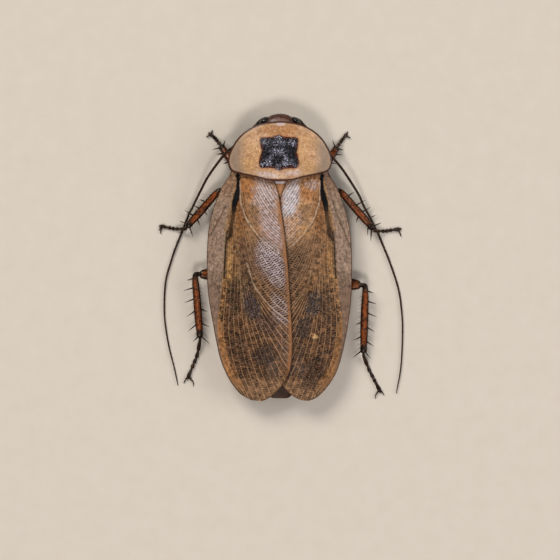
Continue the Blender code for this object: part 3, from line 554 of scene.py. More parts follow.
# %% [markdown]
# ## Shield shape
# The rim is thin and the outline must be clean, so the plate starts as a single spoke that is spun into
# a disc. Every ring then moves out to the outline, and extruding the disc downwards closes it. Two
# distances are kept on its vertices: to the rim, and to the outline of the black mark, which therefore
# stays crisp at any zoom.


# %% Shield shape
def knobs_of(units):
    """How much of a glossy knob there is at each point, which also sets its painted sheen and glints.
    """
    bent = units + drift(units, ((2.2, 5.0), (2.2, 6.0)), 2.6)
    found = np.max([gain * patch(bent, spot, half, turn) for spot, half, turn, gain in KNOBS], axis=0)
    return found * (0.75 + 0.9 * lumps(bent, 2.0, 8.0))


def mark_relief(spots, depth, knobs):
    """The mark is a low lump with a dozen glossy knobs and a finely wrinkled ground."""
    wrinkles = 0.07 * lumps(spots, 0.45, 3.0) + 0.05 * lumps(spots, 0.22, 9.0)
    return soft_step((depth + 0.2) / 0.7) * (0.09 * knobs + wrinkles - 0.03)


def paint_shield(units, edge):
    colours = np.tile(np.array(shade(*SHIELD_COLOUR)[:3]), (len(units), 1))
    bent = units + drift(units, ((7.0, 1.0), (7.0, 2.0)), 3.0)
    front = within(units[:, 1], 124, 152, 10) * soft_step((np.abs(units[:, 0] - 279.5) - 14) / 10)
    pale_front = (0.75 * front * soft_step(1.2 - edge / 1.0), (208, 172, 142))
    colours = blend(colours, *tints(bent, SHIELD_TINTS_AND_HIGHLIGHTS), pale_front)
    colours *= 1.0 + 0.22 * lumps(units, 5.0, 3.0)[:, None] + 0.22 * lumps(units, 1.6, 4.0)[:, None]
    return np.column_stack([np.clip(colours, 0, 1), np.ones(len(units))])


def make_shield(look):
    centre = Vector(SHIELD_CENTRE)
    walls = [(Vector(a), Vector(b)) for a, b in zip(SHIELD_RIM, SHIELD_RIM[1:])]
    far = []  # from the centre to the rim along each spoke
    for k in range(SHIELD_SPOKES):
        angle = math.tau * k / SHIELD_SPOKES
        end = centre + Vector((math.cos(angle), math.sin(angle))) * 40.0  # well past the rim
        hits = [geometry.intersect_line_line_2d(centre, end, a, b) for a, b in walls]
        far.append(min((hit - centre).length for hit in hits if hit is not None))
    bm = bmesh.new()
    stops = np.concatenate([np.linspace(0.0, 0.9, 64), np.linspace(0.91, 1.0, 14)])
    spoke = [bmesh.ops.create_vert(bm, co=(stop, 0.0, 0.0))["vert"][0] for stop in stops]
    edges = [bm.edges.new(pair) for pair in zip(spoke, spoke[1:])]
    bmesh.ops.spin(
        bm, geom=spoke + edges, cent=(0, 0, 0), axis=(0, 0, 1), dvec=(0, 0, 0), angle=math.tau,
        steps=SHIELD_SPOKES, use_merge=True,
    )
    bmesh.ops.remove_doubles(bm, verts=bm.verts, dist=1e-4)
    disc = np.array([vert.co[:2] for vert in bm.verts])
    share, angle = np.hypot(*disc.T), np.arctan2(disc[:, 1], disc[:, 0])
    reach = np.array(far)[np.round(angle / math.tau * SHIELD_SPOKES).astype(int) % SHIELD_SPOKES]
    spots = np.array(SHIELD_CENTRE) + np.stack(
        [np.cos(angle), np.sin(angle)], 1
    ) * (share * reach)[:, None]
    wide = (spots[:, 0] / SHIELD_RIM[:, 0].max()) ** 2
    foremost, hindmost = SHIELD_HALF[0][1], SHIELD_HALF[-1][1]
    slope = soft_step((spots[:, 1] - hindmost) / (foremost - hindmost))
    hind, front = (middle - fall * wide for middle, fall in (HIND_RIM, FRONT_RIM))
    rim = hind * (1.0 - slope) + front * slope
    rise = rim + (SHIELD_TOP - rim) * np.clip(1.0 - share**2, 0.0, 1.0) ** 1.2
    edge = np.abs(side_of(spots, SHIELD_RIM))
    depth = depth_in(spots, MARK_LOOP)
    units = drawing(spots, "left")
    knobs = knobs_of(units)
    rise += RIM_BEAD[0] * np.exp(-((edge / RIM_BEAD[1]) ** 2)) + mark_relief(spots, depth, knobs)
    colour_layer(bm, "paint", paint_shield(units, edge))
    layer(bm, "knobs", knobs)
    to_rim = layer(bm, "rim", edge)
    layer(bm, "mark", depth)
    veil = soft_step((np.abs(spots[:, 0]) - 5.6 + 0.06 * (spots[:, 1] - 17.4) ** 2) / 2.2)
    layer(bm, "veil", 0.95 * veil * soft_step((21.8 - spots[:, 1]) / 3.0))
    for vert, (x, y), z in zip(bm.verts, spots, rise):
        vert.co = (x, y, min(z, SHIELD_LIMIT))
    thicken(bm, 0.14, 0.4, to_rim, 1.6)
    return place(bm, "shield", "pronotum", ["pronotum"], look)


print("shield spokes:", SHIELD_SPOKES)

# %% [markdown]
# ## Shield finish
# The middle of the shield is a warm tan and its wide side margins are thin, so they look grey. A dark
# red-brown seam runs round the rim. The black mark is glossy and lumpy, reddish along its sides, with
# blue-grey sheen and small white glints painted on its knobs, and fine dark specks are strewn over the
# tan.


# %% Shield finish
def shield_finish():
    look = Finish("shield_cuticle", {"Coat Roughness": 0.16, "Specular IOR Level": 0.1})
    mark, rim, veil = look.reading("mark"), look.reading("rim"), look.reading("veil")
    warm = look.reading("paint", "Color")
    grain = (
        look.noise(0.4, 5.0, 0.7).step(0.4, 0.7) * 0.6 + look.noise(0.16, 2.0).step(0.45, 0.65) * 0.4
    )
    lit = look.mix(look.noise(0.24, 3.0, 0.7).step(0.5, 0.64) * 0.4, warm, (236, 212, 190))
    streaked = look.mix(grain, lit, look.mix(0.8, warm, (112, 68, 38)))
    thin = look.mix(look.noise(0.6), (120, 100, 84), (172, 150, 130))
    tan = look.mix(veil, streaked, thin)
    tan = look.mix((1.0 - rim * 0.9).step(0.0, 1.0) * 0.4, tan, (190, 158, 128))
    speck = look.cells(0.75).step(0.13, 0.07) * look.noise(2.2, 2.0).step(0.46, 0.58)
    tan = look.mix(speck * 0.75, tan, (112, 68, 38))
    seam = (rim + look.sway(0.6, 0.12)).step(0.4, 0.2)
    tan = look.mix(seam * 0.95, tan, look.mix(look.noise(0.4), (30, 11, 8), (70, 30, 20)))
    ragged = mark + look.sway(0.5, 0.5, 4.0, 0.75)
    inside = ragged.step(-0.03, 0.05)
    glow = ragged.step(0.6, 0.05) * look.noise(1.1).step(0.35, 0.6)
    # Painted sheen and glints: the knobs of the mark are painted blue-grey, with small white glints on
    # them
    knobs = (look.reading("knobs") + 0.1) * look.noise(0.7, 5.0, 0.75).step(0.4, 0.62)
    black = look.mix(knobs * 0.8, (2, 1, 1), (104, 100, 118))
    painted_glint = (look.reading("knobs") * 1.1 + 0.05) * look.noise(0.26, 3.0, 0.7).step(0.53, 0.59)
    black = look.mix(painted_glint, black, (206, 206, 226))
    dark = look.mix(glow * 0.8, black, (84, 36, 26))
    halo = ragged.step(-0.35, -0.05) * 0.6
    colour = look.mix(inside, look.mix(halo, tan, (150, 92, 56)), dark)
    wrinkles = look.noise(0.3, 4.0, 0.7) * 0.9 + look.cells(0.3) * 0.5
    height = inside * wrinkles + look.noise(0.12, 2.0) * 0.06
    rough = 0.38 + look.noise(0.5) * 0.14 - inside * 0.2
    wet = 0.12 + inside * look.reading("knobs") * 0.5
    return look.cover(colour, rough, height, 0.2, Coat_Weight=wet)


make_shield(shield_finish())

# %% [markdown]
# ## Fore wings
# A folded fore wing is one leathery sheet between its outer margin and its inner margin. A square grid
# is stretched between these two curves, so that it needs no cutting, and is then bent over the arched
# back. The left wing rests on the right one. Its veins fan out from the shoulder, so each vertex gets a
# vein number, worked out between a few guide veins. The finish draws every vein from that number.

# %% Wing outline and veins
# Height of the folded wings over the middle and at their edges, and half their width, along the body
CROWN = profile([
    (16, 6.8), (13, 7.1), (8, 7.8), (0, 8.1), (-8, 8.0), (-15, 7.4), (-20, 6.5), (-25.2, 4.4),
])
EDGE = profile([(16, 4.9), (10, 4.8), (0, 4.5), (-12, 4.2), (-20, 4.2), (-25.2, 3.6)])
WING_HALF = profile([
    (16, 8.6), (12, 10.4), (8, 11.6), (2, 12.6), (-6, 12.7), (-14, 11.8), (-20, 10.4), (-25.2, 9.0),
])
WING_OUTER = {
    "left": [
        (-8.3, 15.6), (-8.7, 14.3), (-10.2, 11.9), (-11.5, 8.6), (-12.3, 5.3), (-12.6, 1.6),
        (-12.65, -2.0), (-12.5, -5.6), (-12.0, -9.3), (-11.0, -14.7), (-10.2, -18.0), (-8.9, -20.9),
        (-7.1, -23.4), (-5.0, -24.7),
    ],
    "right": [
        (8.2, 15.6), (8.6, 14.3), (10.1, 11.6), (11.3, 8.2), (12.1, 4.9), (12.4, 1.6),
        (12.45, -2.0), (12.4, -5.6), (12.1, -9.3), (11.55, -13.0), (10.8, -16.6), (9.8, -19.8),
        (8.2, -22.4), (6.4, -24.2), (4.9, -24.85),
    ],
}
WING_INNER = {
    "left": [
        (-1.6, 14.6), (-0.7, 12.6), (-0.2, 10.8), (0.35, 7.5), (0.9, 3.5), (1.45, -2.0),
        (1.8, -7.4), (2.1, -12.2), (2.15, -15.8), (1.85, -19.1), (1.3, -20.7), (0.5, -22.0),
        (-0.5, -23.1), (-1.7, -24.2), (-3.2, -24.89),
    ],
    "right": [
        (1.9, 14.6), (0.9, 12.6), (0.2, 10.8), (-0.6, 7.5), (-1.3, 3.5), (-1.9, -2.0), (-2.2, -7.4),
        (-2.2, -12.2), (-1.9, -15.8), (-1.2, -19.1), (-0.4, -21.0), (0.6, -22.4), (1.5, -23.4),
        (2.6, -24.2), (3.6, -24.7),
    ],
}

# Guide veins of the left wing in the plan drawing, each with its vein number
GUIDES = [
    (0, [
        (238, 172), (238.3, 178), (233, 202), (229, 218), (225.5, 237), (224, 259), (222.3, 282),
        (220, 305), (217.5, 323), (219, 345), (224, 364), (232, 381), (243, 395),
    ]),
    (5, [
        (239, 174), (236, 195), (233.5, 212), (233, 228), (234.5, 245), (235, 262), (233.5, 285),
        (232, 305), (231.5, 325), (233, 345), (237, 365), (243, 383), (252, 402),
    ]),
    (10, [
        (240, 175), (238, 200), (237.5, 220), (238.5, 240), (240, 262), (240.5, 285), (241.5, 305),
        (243.5, 325), (247.5, 345), (253, 365), (260, 385), (266, 402),
    ]),
    (18, [
        (240.8, 175), (239, 203), (239.5, 222), (241.5, 242), (244, 262), (247.5, 282),
        (251.5, 300), (257, 318), (264, 335), (271.5, 352), (278.5, 368), (287, 384),
    ]),
    (30, [
        (241.5, 176), (240, 205), (241.5, 225), (243.5, 245), (246.5, 266), (253.6, 284),
        (260.5, 295), (272, 308), (283.5, 317), (293, 325),
    ]),
    (37, [
        (242, 177), (240.8, 200), (242.5, 212), (246, 221), (249, 230), (254.4, 243.8),
        (259.6, 256.4), (264, 265), (270.7, 276.5), (277, 284), (291, 299),
    ]),
    (43, [
        (243, 177), (241.5, 199), (243.5, 210), (247.5, 219.4), (253, 228), (260.2, 237),
        (268.2, 245), (279, 253), (291, 262),
    ]),
    (48, [(244, 186), (248.5, 198), (254, 210), (261, 220.5), (269, 230), (278, 238), (290, 247)]),
    (53, [(252, 184), (257, 195), (263.5, 206.5), (270.5, 216), (278, 224), (289, 233)]),
    (57, [(261, 183), (266.5, 193), (272.5, 202.5), (279, 210), (288, 219)]),
    (60, [(270, 183), (274.5, 190), (280, 197.5), (287, 205)]),
]
WING_ROOT = (240.0, 200.0)
CELL = 2.3  # mean distance between cross-veins


def vein_numbers(spots):
    """Vein number, room between veins, and distance inwards from each guide, all in drawing units."""
    offs = [-side_of(spots, curve(path, 60)) for _, path in GUIDES]
    number, room = offs[0] / 5.0, np.full(len(spots), 5.0)
    for (a, _), (b, _), near, far in zip(GUIDES, GUIDES[1:], offs, offs[1:]):
        between = np.maximum(near - far, 1e-3)
        number = np.where(near > 0, a + (b - a) * np.clip(near / between, 0.0, 1.0), number)
        room = np.where(near > 0, between / (b - a), room)
    number = np.where(offs[-1] > 0, GUIDES[-1][0] + offs[-1] / 2.2, number)
    return number, np.where(offs[-1] > 0, 2.2, room), offs


def arched_back(x, y):
    crown, edge, half = CROWN(y)[0], EDGE(y)[0], WING_HALF(y)[0]
    return crown - (crown - edge) * np.minimum(np.abs(x) / half, 1.0) ** 2.2


print("guide veins:", len(GUIDES))

# %% [markdown]
# ## Wing colours
# The horn-brown of a wing changes in soft patches: grey along the outer margin, orange at the shoulder
# and along the inner edge, dark behind the middle. A few pale patches by the wing roots are painted
# sheen. Each patch is a soft ellipse in the plan drawing with a colour and a strength. Blotches, sheens
# and single lines have tables of their own, and a black streak runs back from the shoulder.

# %% Wing colours
# Each patch: wings, middle, half sizes, turn in degrees, colour, strength
PATCHES = [
    ("both", (264, 205), (28, 38), -25, (172, 128, 92), 0.9),
    ("right", (264, 218), (22, 26), -25, (200, 152, 108), 0.85),
    ("both", (249, 188), (9, 12), -20, (182, 114, 56), 0.85),
    ("right", (258, 231), (8, 7), -35, (196, 142, 80), 0.8),
    ("right", (262, 214), (7, 8), -30, (190, 136, 84), 0.5),
    ("both", (241, 214), (6, 24), 0, (142, 92, 50), 0.9),
    ("both", (255, 213), (6, 10), -25, (112, 80, 54), 0.6),
    ("both", (240, 246), (8, 20), 0, (150, 104, 64), 0.8),
    ("left", (247, 259), (8, 22), -12, (106, 76, 56), 0.85),
    ("right", (250, 257), (11, 22), -12, (130, 96, 68), 0.85),
    # Painted sheen: the next four patches are pale pinkish and whitish highlights by the wing roots
    ("left", (266, 198), (11, 18), -20, (208, 176, 164), 0.8),
    ("right", (270, 200), (7.5, 18), -16, (250, 240, 240), 1.0),
    ("right", (247, 186), (7, 6), 0, (184, 148, 120), 0.6),
    ("left", (272, 231), (10, 20), -30, (194, 158, 146), 0.8),
    ("left", (272, 272), (14, 32), -22, (100, 78, 74), 0.9),
    ("right", (274, 275), (15, 34), -22, (82, 60, 46), 0.9),
    ("both", (256, 345), (34, 62), 0, (104, 70, 46), 0.9),
    ("left", (246, 283), (9, 16), -10, (74, 54, 40), 0.7),
    ("left", (233, 292), (6, 12), 0, (52, 36, 24), 0.75),
    ("left", (236, 322), (9, 26), 0, (92, 60, 38), 0.6),
    ("right", (245, 337), (3.6, 3), 0, (206, 162, 112), 0.9),
    ("left", (282, 345), (9, 28), -8, (104, 68, 42), 0.85),
    ("right", (281, 340), (7, 60), 0, (168, 118, 82), 0.75),
    ("both", (262, 392), (34, 12), 0, (148, 112, 80), 0.8),
]

# The dark blotches have ragged edges
BLOTCHES = [
    ("left", (252, 307), (9, 15), -22, (56, 49, 53), 1.0),
    ("left", (268, 324), (11, 10), -20, (70, 50, 48), 0.8),
    ("left", (265, 356), (11, 12), 25, (40, 31, 32), 0.9),
    ("left", (240, 350), (8, 16), -10, (50, 36, 30), 0.5),
    ("left", (246, 291), (6, 8), 0, (60, 44, 36), 0.6),
    ("left", (233, 300), (7, 14), 0, (50, 34, 24), 0.6),
    ("right", (246, 303), (8, 14), -14, (47, 44, 48), 1.0),
    ("right", (257, 327), (8, 13), -16, (42, 36, 38), 0.9),
    ("right", (233, 306), (6, 20), 0, (56, 38, 26), 0.6),
    ("right", (247, 374), (13, 20), -25, (50, 32, 26), 0.8),
    ("right", (264, 345), (10, 14), 0, (60, 44, 34), 0.4),
    ("left", (270, 372), (8, 8), 0, (56, 40, 34), 0.5),
]

# Where the wing is glossy: its clear coat is thicker there, and a whitish sheen is painted on it
SHEENS = [
    ("left", (266, 196), (11, 17), -20, 0.8), ("left", (274, 228), (9, 20), -28, 0.75),
    ("left", (272, 262), (11, 24), -22, 0.9), ("right", (270, 200), (8.5, 20), -16, 1.0),
    ("right", (268, 226), (10, 16), -25, 0.4), ("right", (247, 186), (7, 6), 0, 0.5),
    ("left", (285, 340), (9, 26), -8, 0.08), ("left", (280, 310), (8, 16), -20, 0.45),
]

# Single lines: wings, path, half width, colour, strength
LINES = [
    ("both", [(237.5, 174), (232.5, 200), (228.5, 215), (225.5, 232)], 1.3, (158, 120, 82), 0.8),
    ("both", [(239.8, 182), (240.8, 201.8), (244, 212)], 0.7, (196, 170, 146), 0.8),
    ("both", [
        (243, 211), (247, 219.8), (252.5, 228.4), (259.7, 237.4), (267.7, 245.4),
    ], 0.6, (202, 176, 150), 0.85),
    ("both", [(267.7, 245.4), (279, 253), (291, 262)], 0.5, (190, 158, 128), 0.6),
    ("both", [
        (241.6, 212), (245.6, 221), (251.2, 229.8), (258.4, 238.8), (266.4, 247),
    ], 0.6, (88, 58, 38), 0.6),
    ("both", [
        (233.6, 206), (233.6, 227), (236, 240.7), (239, 252), (240.5, 280), (244, 306),
    ], 0.5, (156, 122, 88), 0.6),
    ("both", [(227, 232), (225.8, 246), (225, 262), (224.2, 278)], 1.2, (20, 13, 9), 0.95),
    ("left", [
        (247, 263), (253.6, 284), (260.5, 295), (272, 308), (283.5, 317), (293, 325),
    ], 0.6, (206, 178, 152), 0.75),
    ("right", [(247, 263), (251, 280), (256, 292), (266, 303), (279, 313)], 0.5, (170, 140, 108), 0.5),
]

# The outline of the black streak at the shoulder
STREAK = [
    (237, 172), (240, 172), (240, 190), (239, 200), (236, 212), (233.5, 226), (232.5, 236),
    (229, 240), (227, 243), (228.5, 232), (229.5, 222), (231, 211), (233, 200), (235.5, 190),
    (237, 172),
]
# The dark line along the outer strip, and single dark dots by the end of the streak
OUTER_LINE = {
    "left": [(226, 206), (222, 214), (216, 225), (210, 236)],
    "right": [(228, 200), (224, 212), (217, 229), (209.5, 247)],
}
WING_DOTS = {"left": [(232.7, 253), (237.6, 252), (234.5, 247)], "right": [(238.2, 251), (236.2, 246)]}
DOT_ROW = 13
HORN = (132, 94, 58)
# Colours that differ between the wings: gold band, hind rim, shoulder and middle of the outer strip
WING_TINTS = {
    "left": ((190, 142, 86), (146, 102, 64), (152, 118, 90), (128, 104, 88)),
    "right": ((176, 128, 76), (124, 86, 52), (136, 106, 84), (120, 94, 76)),
}
print("wings:", sum(len(rows) for rows in (PATCHES, BLOTCHES, SHEENS, LINES)), "marks")

# %% [markdown]
# ## Wing paint
# The tables are laid down one after the other, from the widest patches to the finest dots. Noise bends
# most of them, since few patches on a real wing have a clean outline. The same sums say where the
# finish draws spots, veins and cross-veins, where it is glossy and painted with a whitish sheen, and
# where it is calm.


# %% Wing paint
def of_side(rows, side):
    """The rows of a table that are for one wing, without their first entry."""
    return [row[1:] for row in rows if row[0] in ("both", side)]


def ragged(weight, spots):
    """Fray the edge of a soft patch."""
    rough = 0.9 * lumps(spots, 2.6, 41.0) + 0.7 * lumps(spots, 1.1, 42.0)
    return soft_step((weight * (1 + rough) - 0.4) / 0.3)


def outer_strip(spots, y, side):
    """Colours of the strip outside the first guide vein."""
    _, _, shoulder, middle = WING_TINTS[side]
    outer = soft_step((spots[:, 0] - 213) / -6) * soft_step((250 - y) / 20)
    return blend(
        np.tile(np.array(shade(160, 134, 114)[:3]), (len(spots), 1)),
        (soft_step((210 - y) / 30), shoulder), (soft_step((y - 262) / 30) * 0.9, middle),
        (0.8 * soft_step((y - 345) / 30), (136, 98, 62)), (0.5 * outer, (150, 112, 78)),
        (0.7 * stroke(spots, OUTER_LINE[side], 0.8), (92, 68, 50)),
    )


def paint_wing(spots, side, offs, inward, outward):
    """Colour of each point, how strongly spots, veins and cross-veins show, gloss with painted sheen,
    calm.
    """
    bend = drift(spots, ((9.0, 1.0), (9.0, 7.0)), 3.0)
    bent = spots + bend + drift(spots, ((2.5, 4.0), (3.5, 5.0)), 2.2)
    y = bent[:, 1]
    gold_tint, rim_tint, _, _ = WING_TINTS[side]
    colours = np.tile(np.array(shade(*HORN)[:3]), (len(spots), 1))
    colours = blend(colours, *tints(bent, of_side(PATCHES, side)))
    stain = np.zeros(len(spots))
    for middle, half, turn, colour, strength in of_side(BLOTCHES, side):
        cover = strength * ragged(patch(bent, middle, half, turn), spots)
        colours, stain = blend(colours, (cover, colour)), np.maximum(stain, cover)
    inner = offs[0] + bend[:, 0] * 0.3
    strip = within(y, 200, 372, 12) * soft_step(1.6 - inward / 3.4)
    rim = soft_step((11.5 - outward + bend[:, 1] * 0.6) / 6.0) * within(y, 290, 386, 16)
    colours = blend(
        colours,
        (0.8 * within(inner, 3.0, 8.5, 3.0) * within(y, 248, 280, 10), gold_tint),
        (0.8 * within(inner, 0.0, 4.0, 2.5) * within(y, 268, 325, 14), (176, 128, 80)),
        (0.85 * within(inner, -1.0, 6.5, 4.0) * within(y, 330, 386, 18), (168, 116, 70)),
        (0.85 * rim, rim_tint),
    )
    costal = soft_step(0.5 - offs[0] / 1.2)
    colours += (outer_strip(spots, y, side) - colours) * costal[:, None]
    patchy = 0.25 + 0.75 * soft_step((y - 248) / 30)
    tint = 1.0 + patchy * (1.2 * lumps(bent, 4.5, 11.0) + 1.1 * lumps(bent, 1.7, 12.0))
    tint = np.clip(tint, 0.35, 1.8)
    colours *= 1.0 + (tint[:, None] - 1.0) * (1.0 - 0.65 * costal[:, None])
    for path, half, colour, strength in of_side(LINES, side):
        colours = blend(colours, (strength * stroke(spots, curve(path, 30), half), colour))
    long = lumps(np.stack([offs[0] * 1.6, spots[:, 1] * 0.06], axis=1), 1.0, 21.0)
    colours *= 1.0 + (0.5 * costal * long + 0.12 * costal * lumps(bent, 3.0, 31.0))[:, None]
    streak = depth_in(bent * 0.45 + spots * 0.55, np.array(STREAK))
    dark = soft_step(streak / 0.9 + 0.6)
    brown = soft_step((y - 206 + 8 * lumps(spots, 2.4, 51.0)) / 30)
    dots = [(0.85 * patch(spots, dot, (1.4, 1.7), 0), (48, 38, 34)) for dot in WING_DOTS[side]]
    for k in range(DOT_ROW):
        dot = (230.0 + 1.6 * math.sin(2.1 * k), 281 + 5.2 * k)
        dots.append((0.7 * patch(spots, dot, (0.9, 1.6), 0), (40, 27, 18)))
    colours = blend(
        colours, (dark * (1.0 - brown), (6, 5, 7)), (0.9 * dark * brown, (26, 15, 10)),
        *dots, (0.85 * strip, (154, 104, 66)),
    )
    body = 1.0 - np.maximum(costal, dark)
    far, tips = soft_step((y - 272) / 22), soft_step((y - 376) / 12)
    gloss_and_painted_sheen = np.zeros(len(spots))
    for middle, half, turn, strength in of_side(SHEENS, side):
        gloss_and_painted_sheen = np.maximum(gloss_and_painted_sheen, strength * patch(bent, middle, half, turn))
    specks = body * far * (0.95 - 0.5 * patch(bent, (281, 345), (10, 34), -8))
    specks *= 1 - 0.9 * soft_step((y - 372) / 14)
    specks *= (1.0 - rim) * (1.0 - 0.75 * stain) * (1.0 - strip)
    net = patch(bent, (272, 275), (14, 38), -22)
    specks = np.maximum(specks, 0.35 * net * body)
    hind = 0.45 * patch(bent, (278, 340), (17, 50), -10)
    ridges = body * (0.45 + 0.15 * far + 0.3 * tips + hind + 0.3 * gloss_and_painted_sheen)
    ridges *= (1.0 - 0.8 * stain) * (1.0 - 0.8 * strip) * (1.0 - 0.6 * rim)
    netted = (0.95 if side == "left" else 0.5) * net
    nets = body * np.clip(netted + 0.15 * far + 0.35 * tips + 0.35 * gloss_and_painted_sheen, 0.0, 1.0)
    calm = np.clip(rim + strip + 0.2 * costal + 1.3 * dark, 0.0, 1.3)
    gloss_and_painted_sheen *= body * (1.0 - 0.9 * strip)
    full = np.ones(len(spots))
    make = np.clip(np.stack([specks, np.clip(ridges, 0, 1), nets, full], axis=1), 0, 1)
    return np.column_stack([np.clip(colours, 0, 1), full]), make, gloss_and_painted_sheen, calm


print("wing dots in a row:", DOT_ROW)

# %% [markdown]
# ## Wing shapes
# The grid is fine enough to raise the widest veins as real ridges and to sink the furrow of the inner
# field. Extruding the sheet downwards gives it a thickness, thin at the margins like a real wing.

# %% Wing shapes
LAP_START = 12.6  # the wings overlap behind this place
WING_LAP = {"left": 0.2, "right": -0.3}  # how far each is raised or lowered there
# Guide vein and the height of its ridge or furrow
WING_RIDGES = ((0, 0.05), (1, 0.04), (4, 0.05), (6, -0.05))


def make_wing(side, look):
    bm = bmesh.new()
    inner, outer = curve(WING_INNER[side], 500), curve(WING_OUTER[side], 500)
    spots, _ = stretch_grid(bm, (130, 270), inner, outer)
    x, y = spots.T
    units = drawing(spots, side)
    number, room, offs = vein_numbers(units)
    inward = np.abs(side_of(spots, inner[::8])) / UNIT
    outward = np.abs(side_of(spots, outer[::8])) / UNIT
    edge = np.minimum(outward, inward) * UNIT
    lapped = soft_step((LAP_START - y) / 2.5)
    inside = (x + 4.0) / 2.0 if side == "left" else (4.3 - x) / 2.0
    z = arched_back(x, y) + WING_LAP[side] * (lapped * soft_step(inside))
    if side == "left":
        z -= 0.14 * np.exp(-((inward * UNIT / 0.5) ** 2)) * lapped
    z += 0.035 * np.cos(math.tau * number) * soft_step((room - 2.4) / 1.6) * (offs[0] > 0)
    for guide, high in WING_RIDGES:
        z += high * np.exp(-((offs[guide] / 1.1) ** 2)) * soft_step((y + 24) / 6)
    z += 0.035 * np.exp(-((edge / 0.15) ** 2)) + 0.03 * lumps(spots, 2.6, 2.0)
    to_edge = layer(bm, "edge", edge)
    layer(bm, "vein", number)
    layer(bm, "room", room * UNIT)
    layer(bm, "reach", np.hypot(*(units - np.array(WING_ROOT)).T) / CELL)
    paint, make, gloss_and_painted_sheen, calm = paint_wing(units, side, offs, inward, outward)
    layer(bm, "gloss_and_painted_sheen", gloss_and_painted_sheen)
    layer(bm, "calm", calm)
    # Painted shadow: the right wing is darkened in a thin line along the inner edge of the left wing,
    # which lies over it
    if side == "right":
        left_edge_shadow_gap = np.abs(side_of(spots, curve(WING_INNER["left"], 60)))
        paint[:, :3] *= 1.0 - 0.85 * np.exp(-((left_edge_shadow_gap / 0.26) ** 2))[:, None]
    colour_layer(bm, "paint", paint)
    colour_layer(bm, "make", make)
    for vert, spot, height in zip(bm.verts, spots, z):
        vert.co = (*spot, height)
    thicken(bm, 0.1, 0.2, to_edge, 0.9)
    return place(bm, f"wing_{side}", "tegmen", [f"tegmen_{side}"], look)


print("wing ridges and furrows:", len(WING_RIDGES))

# %% [markdown]
# ## Wing finish
# Each vein is a pale ridge where the vein number is whole. Fine cross-veins join neighbouring veins at
# staggered places, and the little cells between them are darkened at random, more of them where the
# spots are dense. Where veins crowd too closely, every second one fades out. Where the wing is glossy,
# a whitish sheen is painted on its veins and in small flecks.


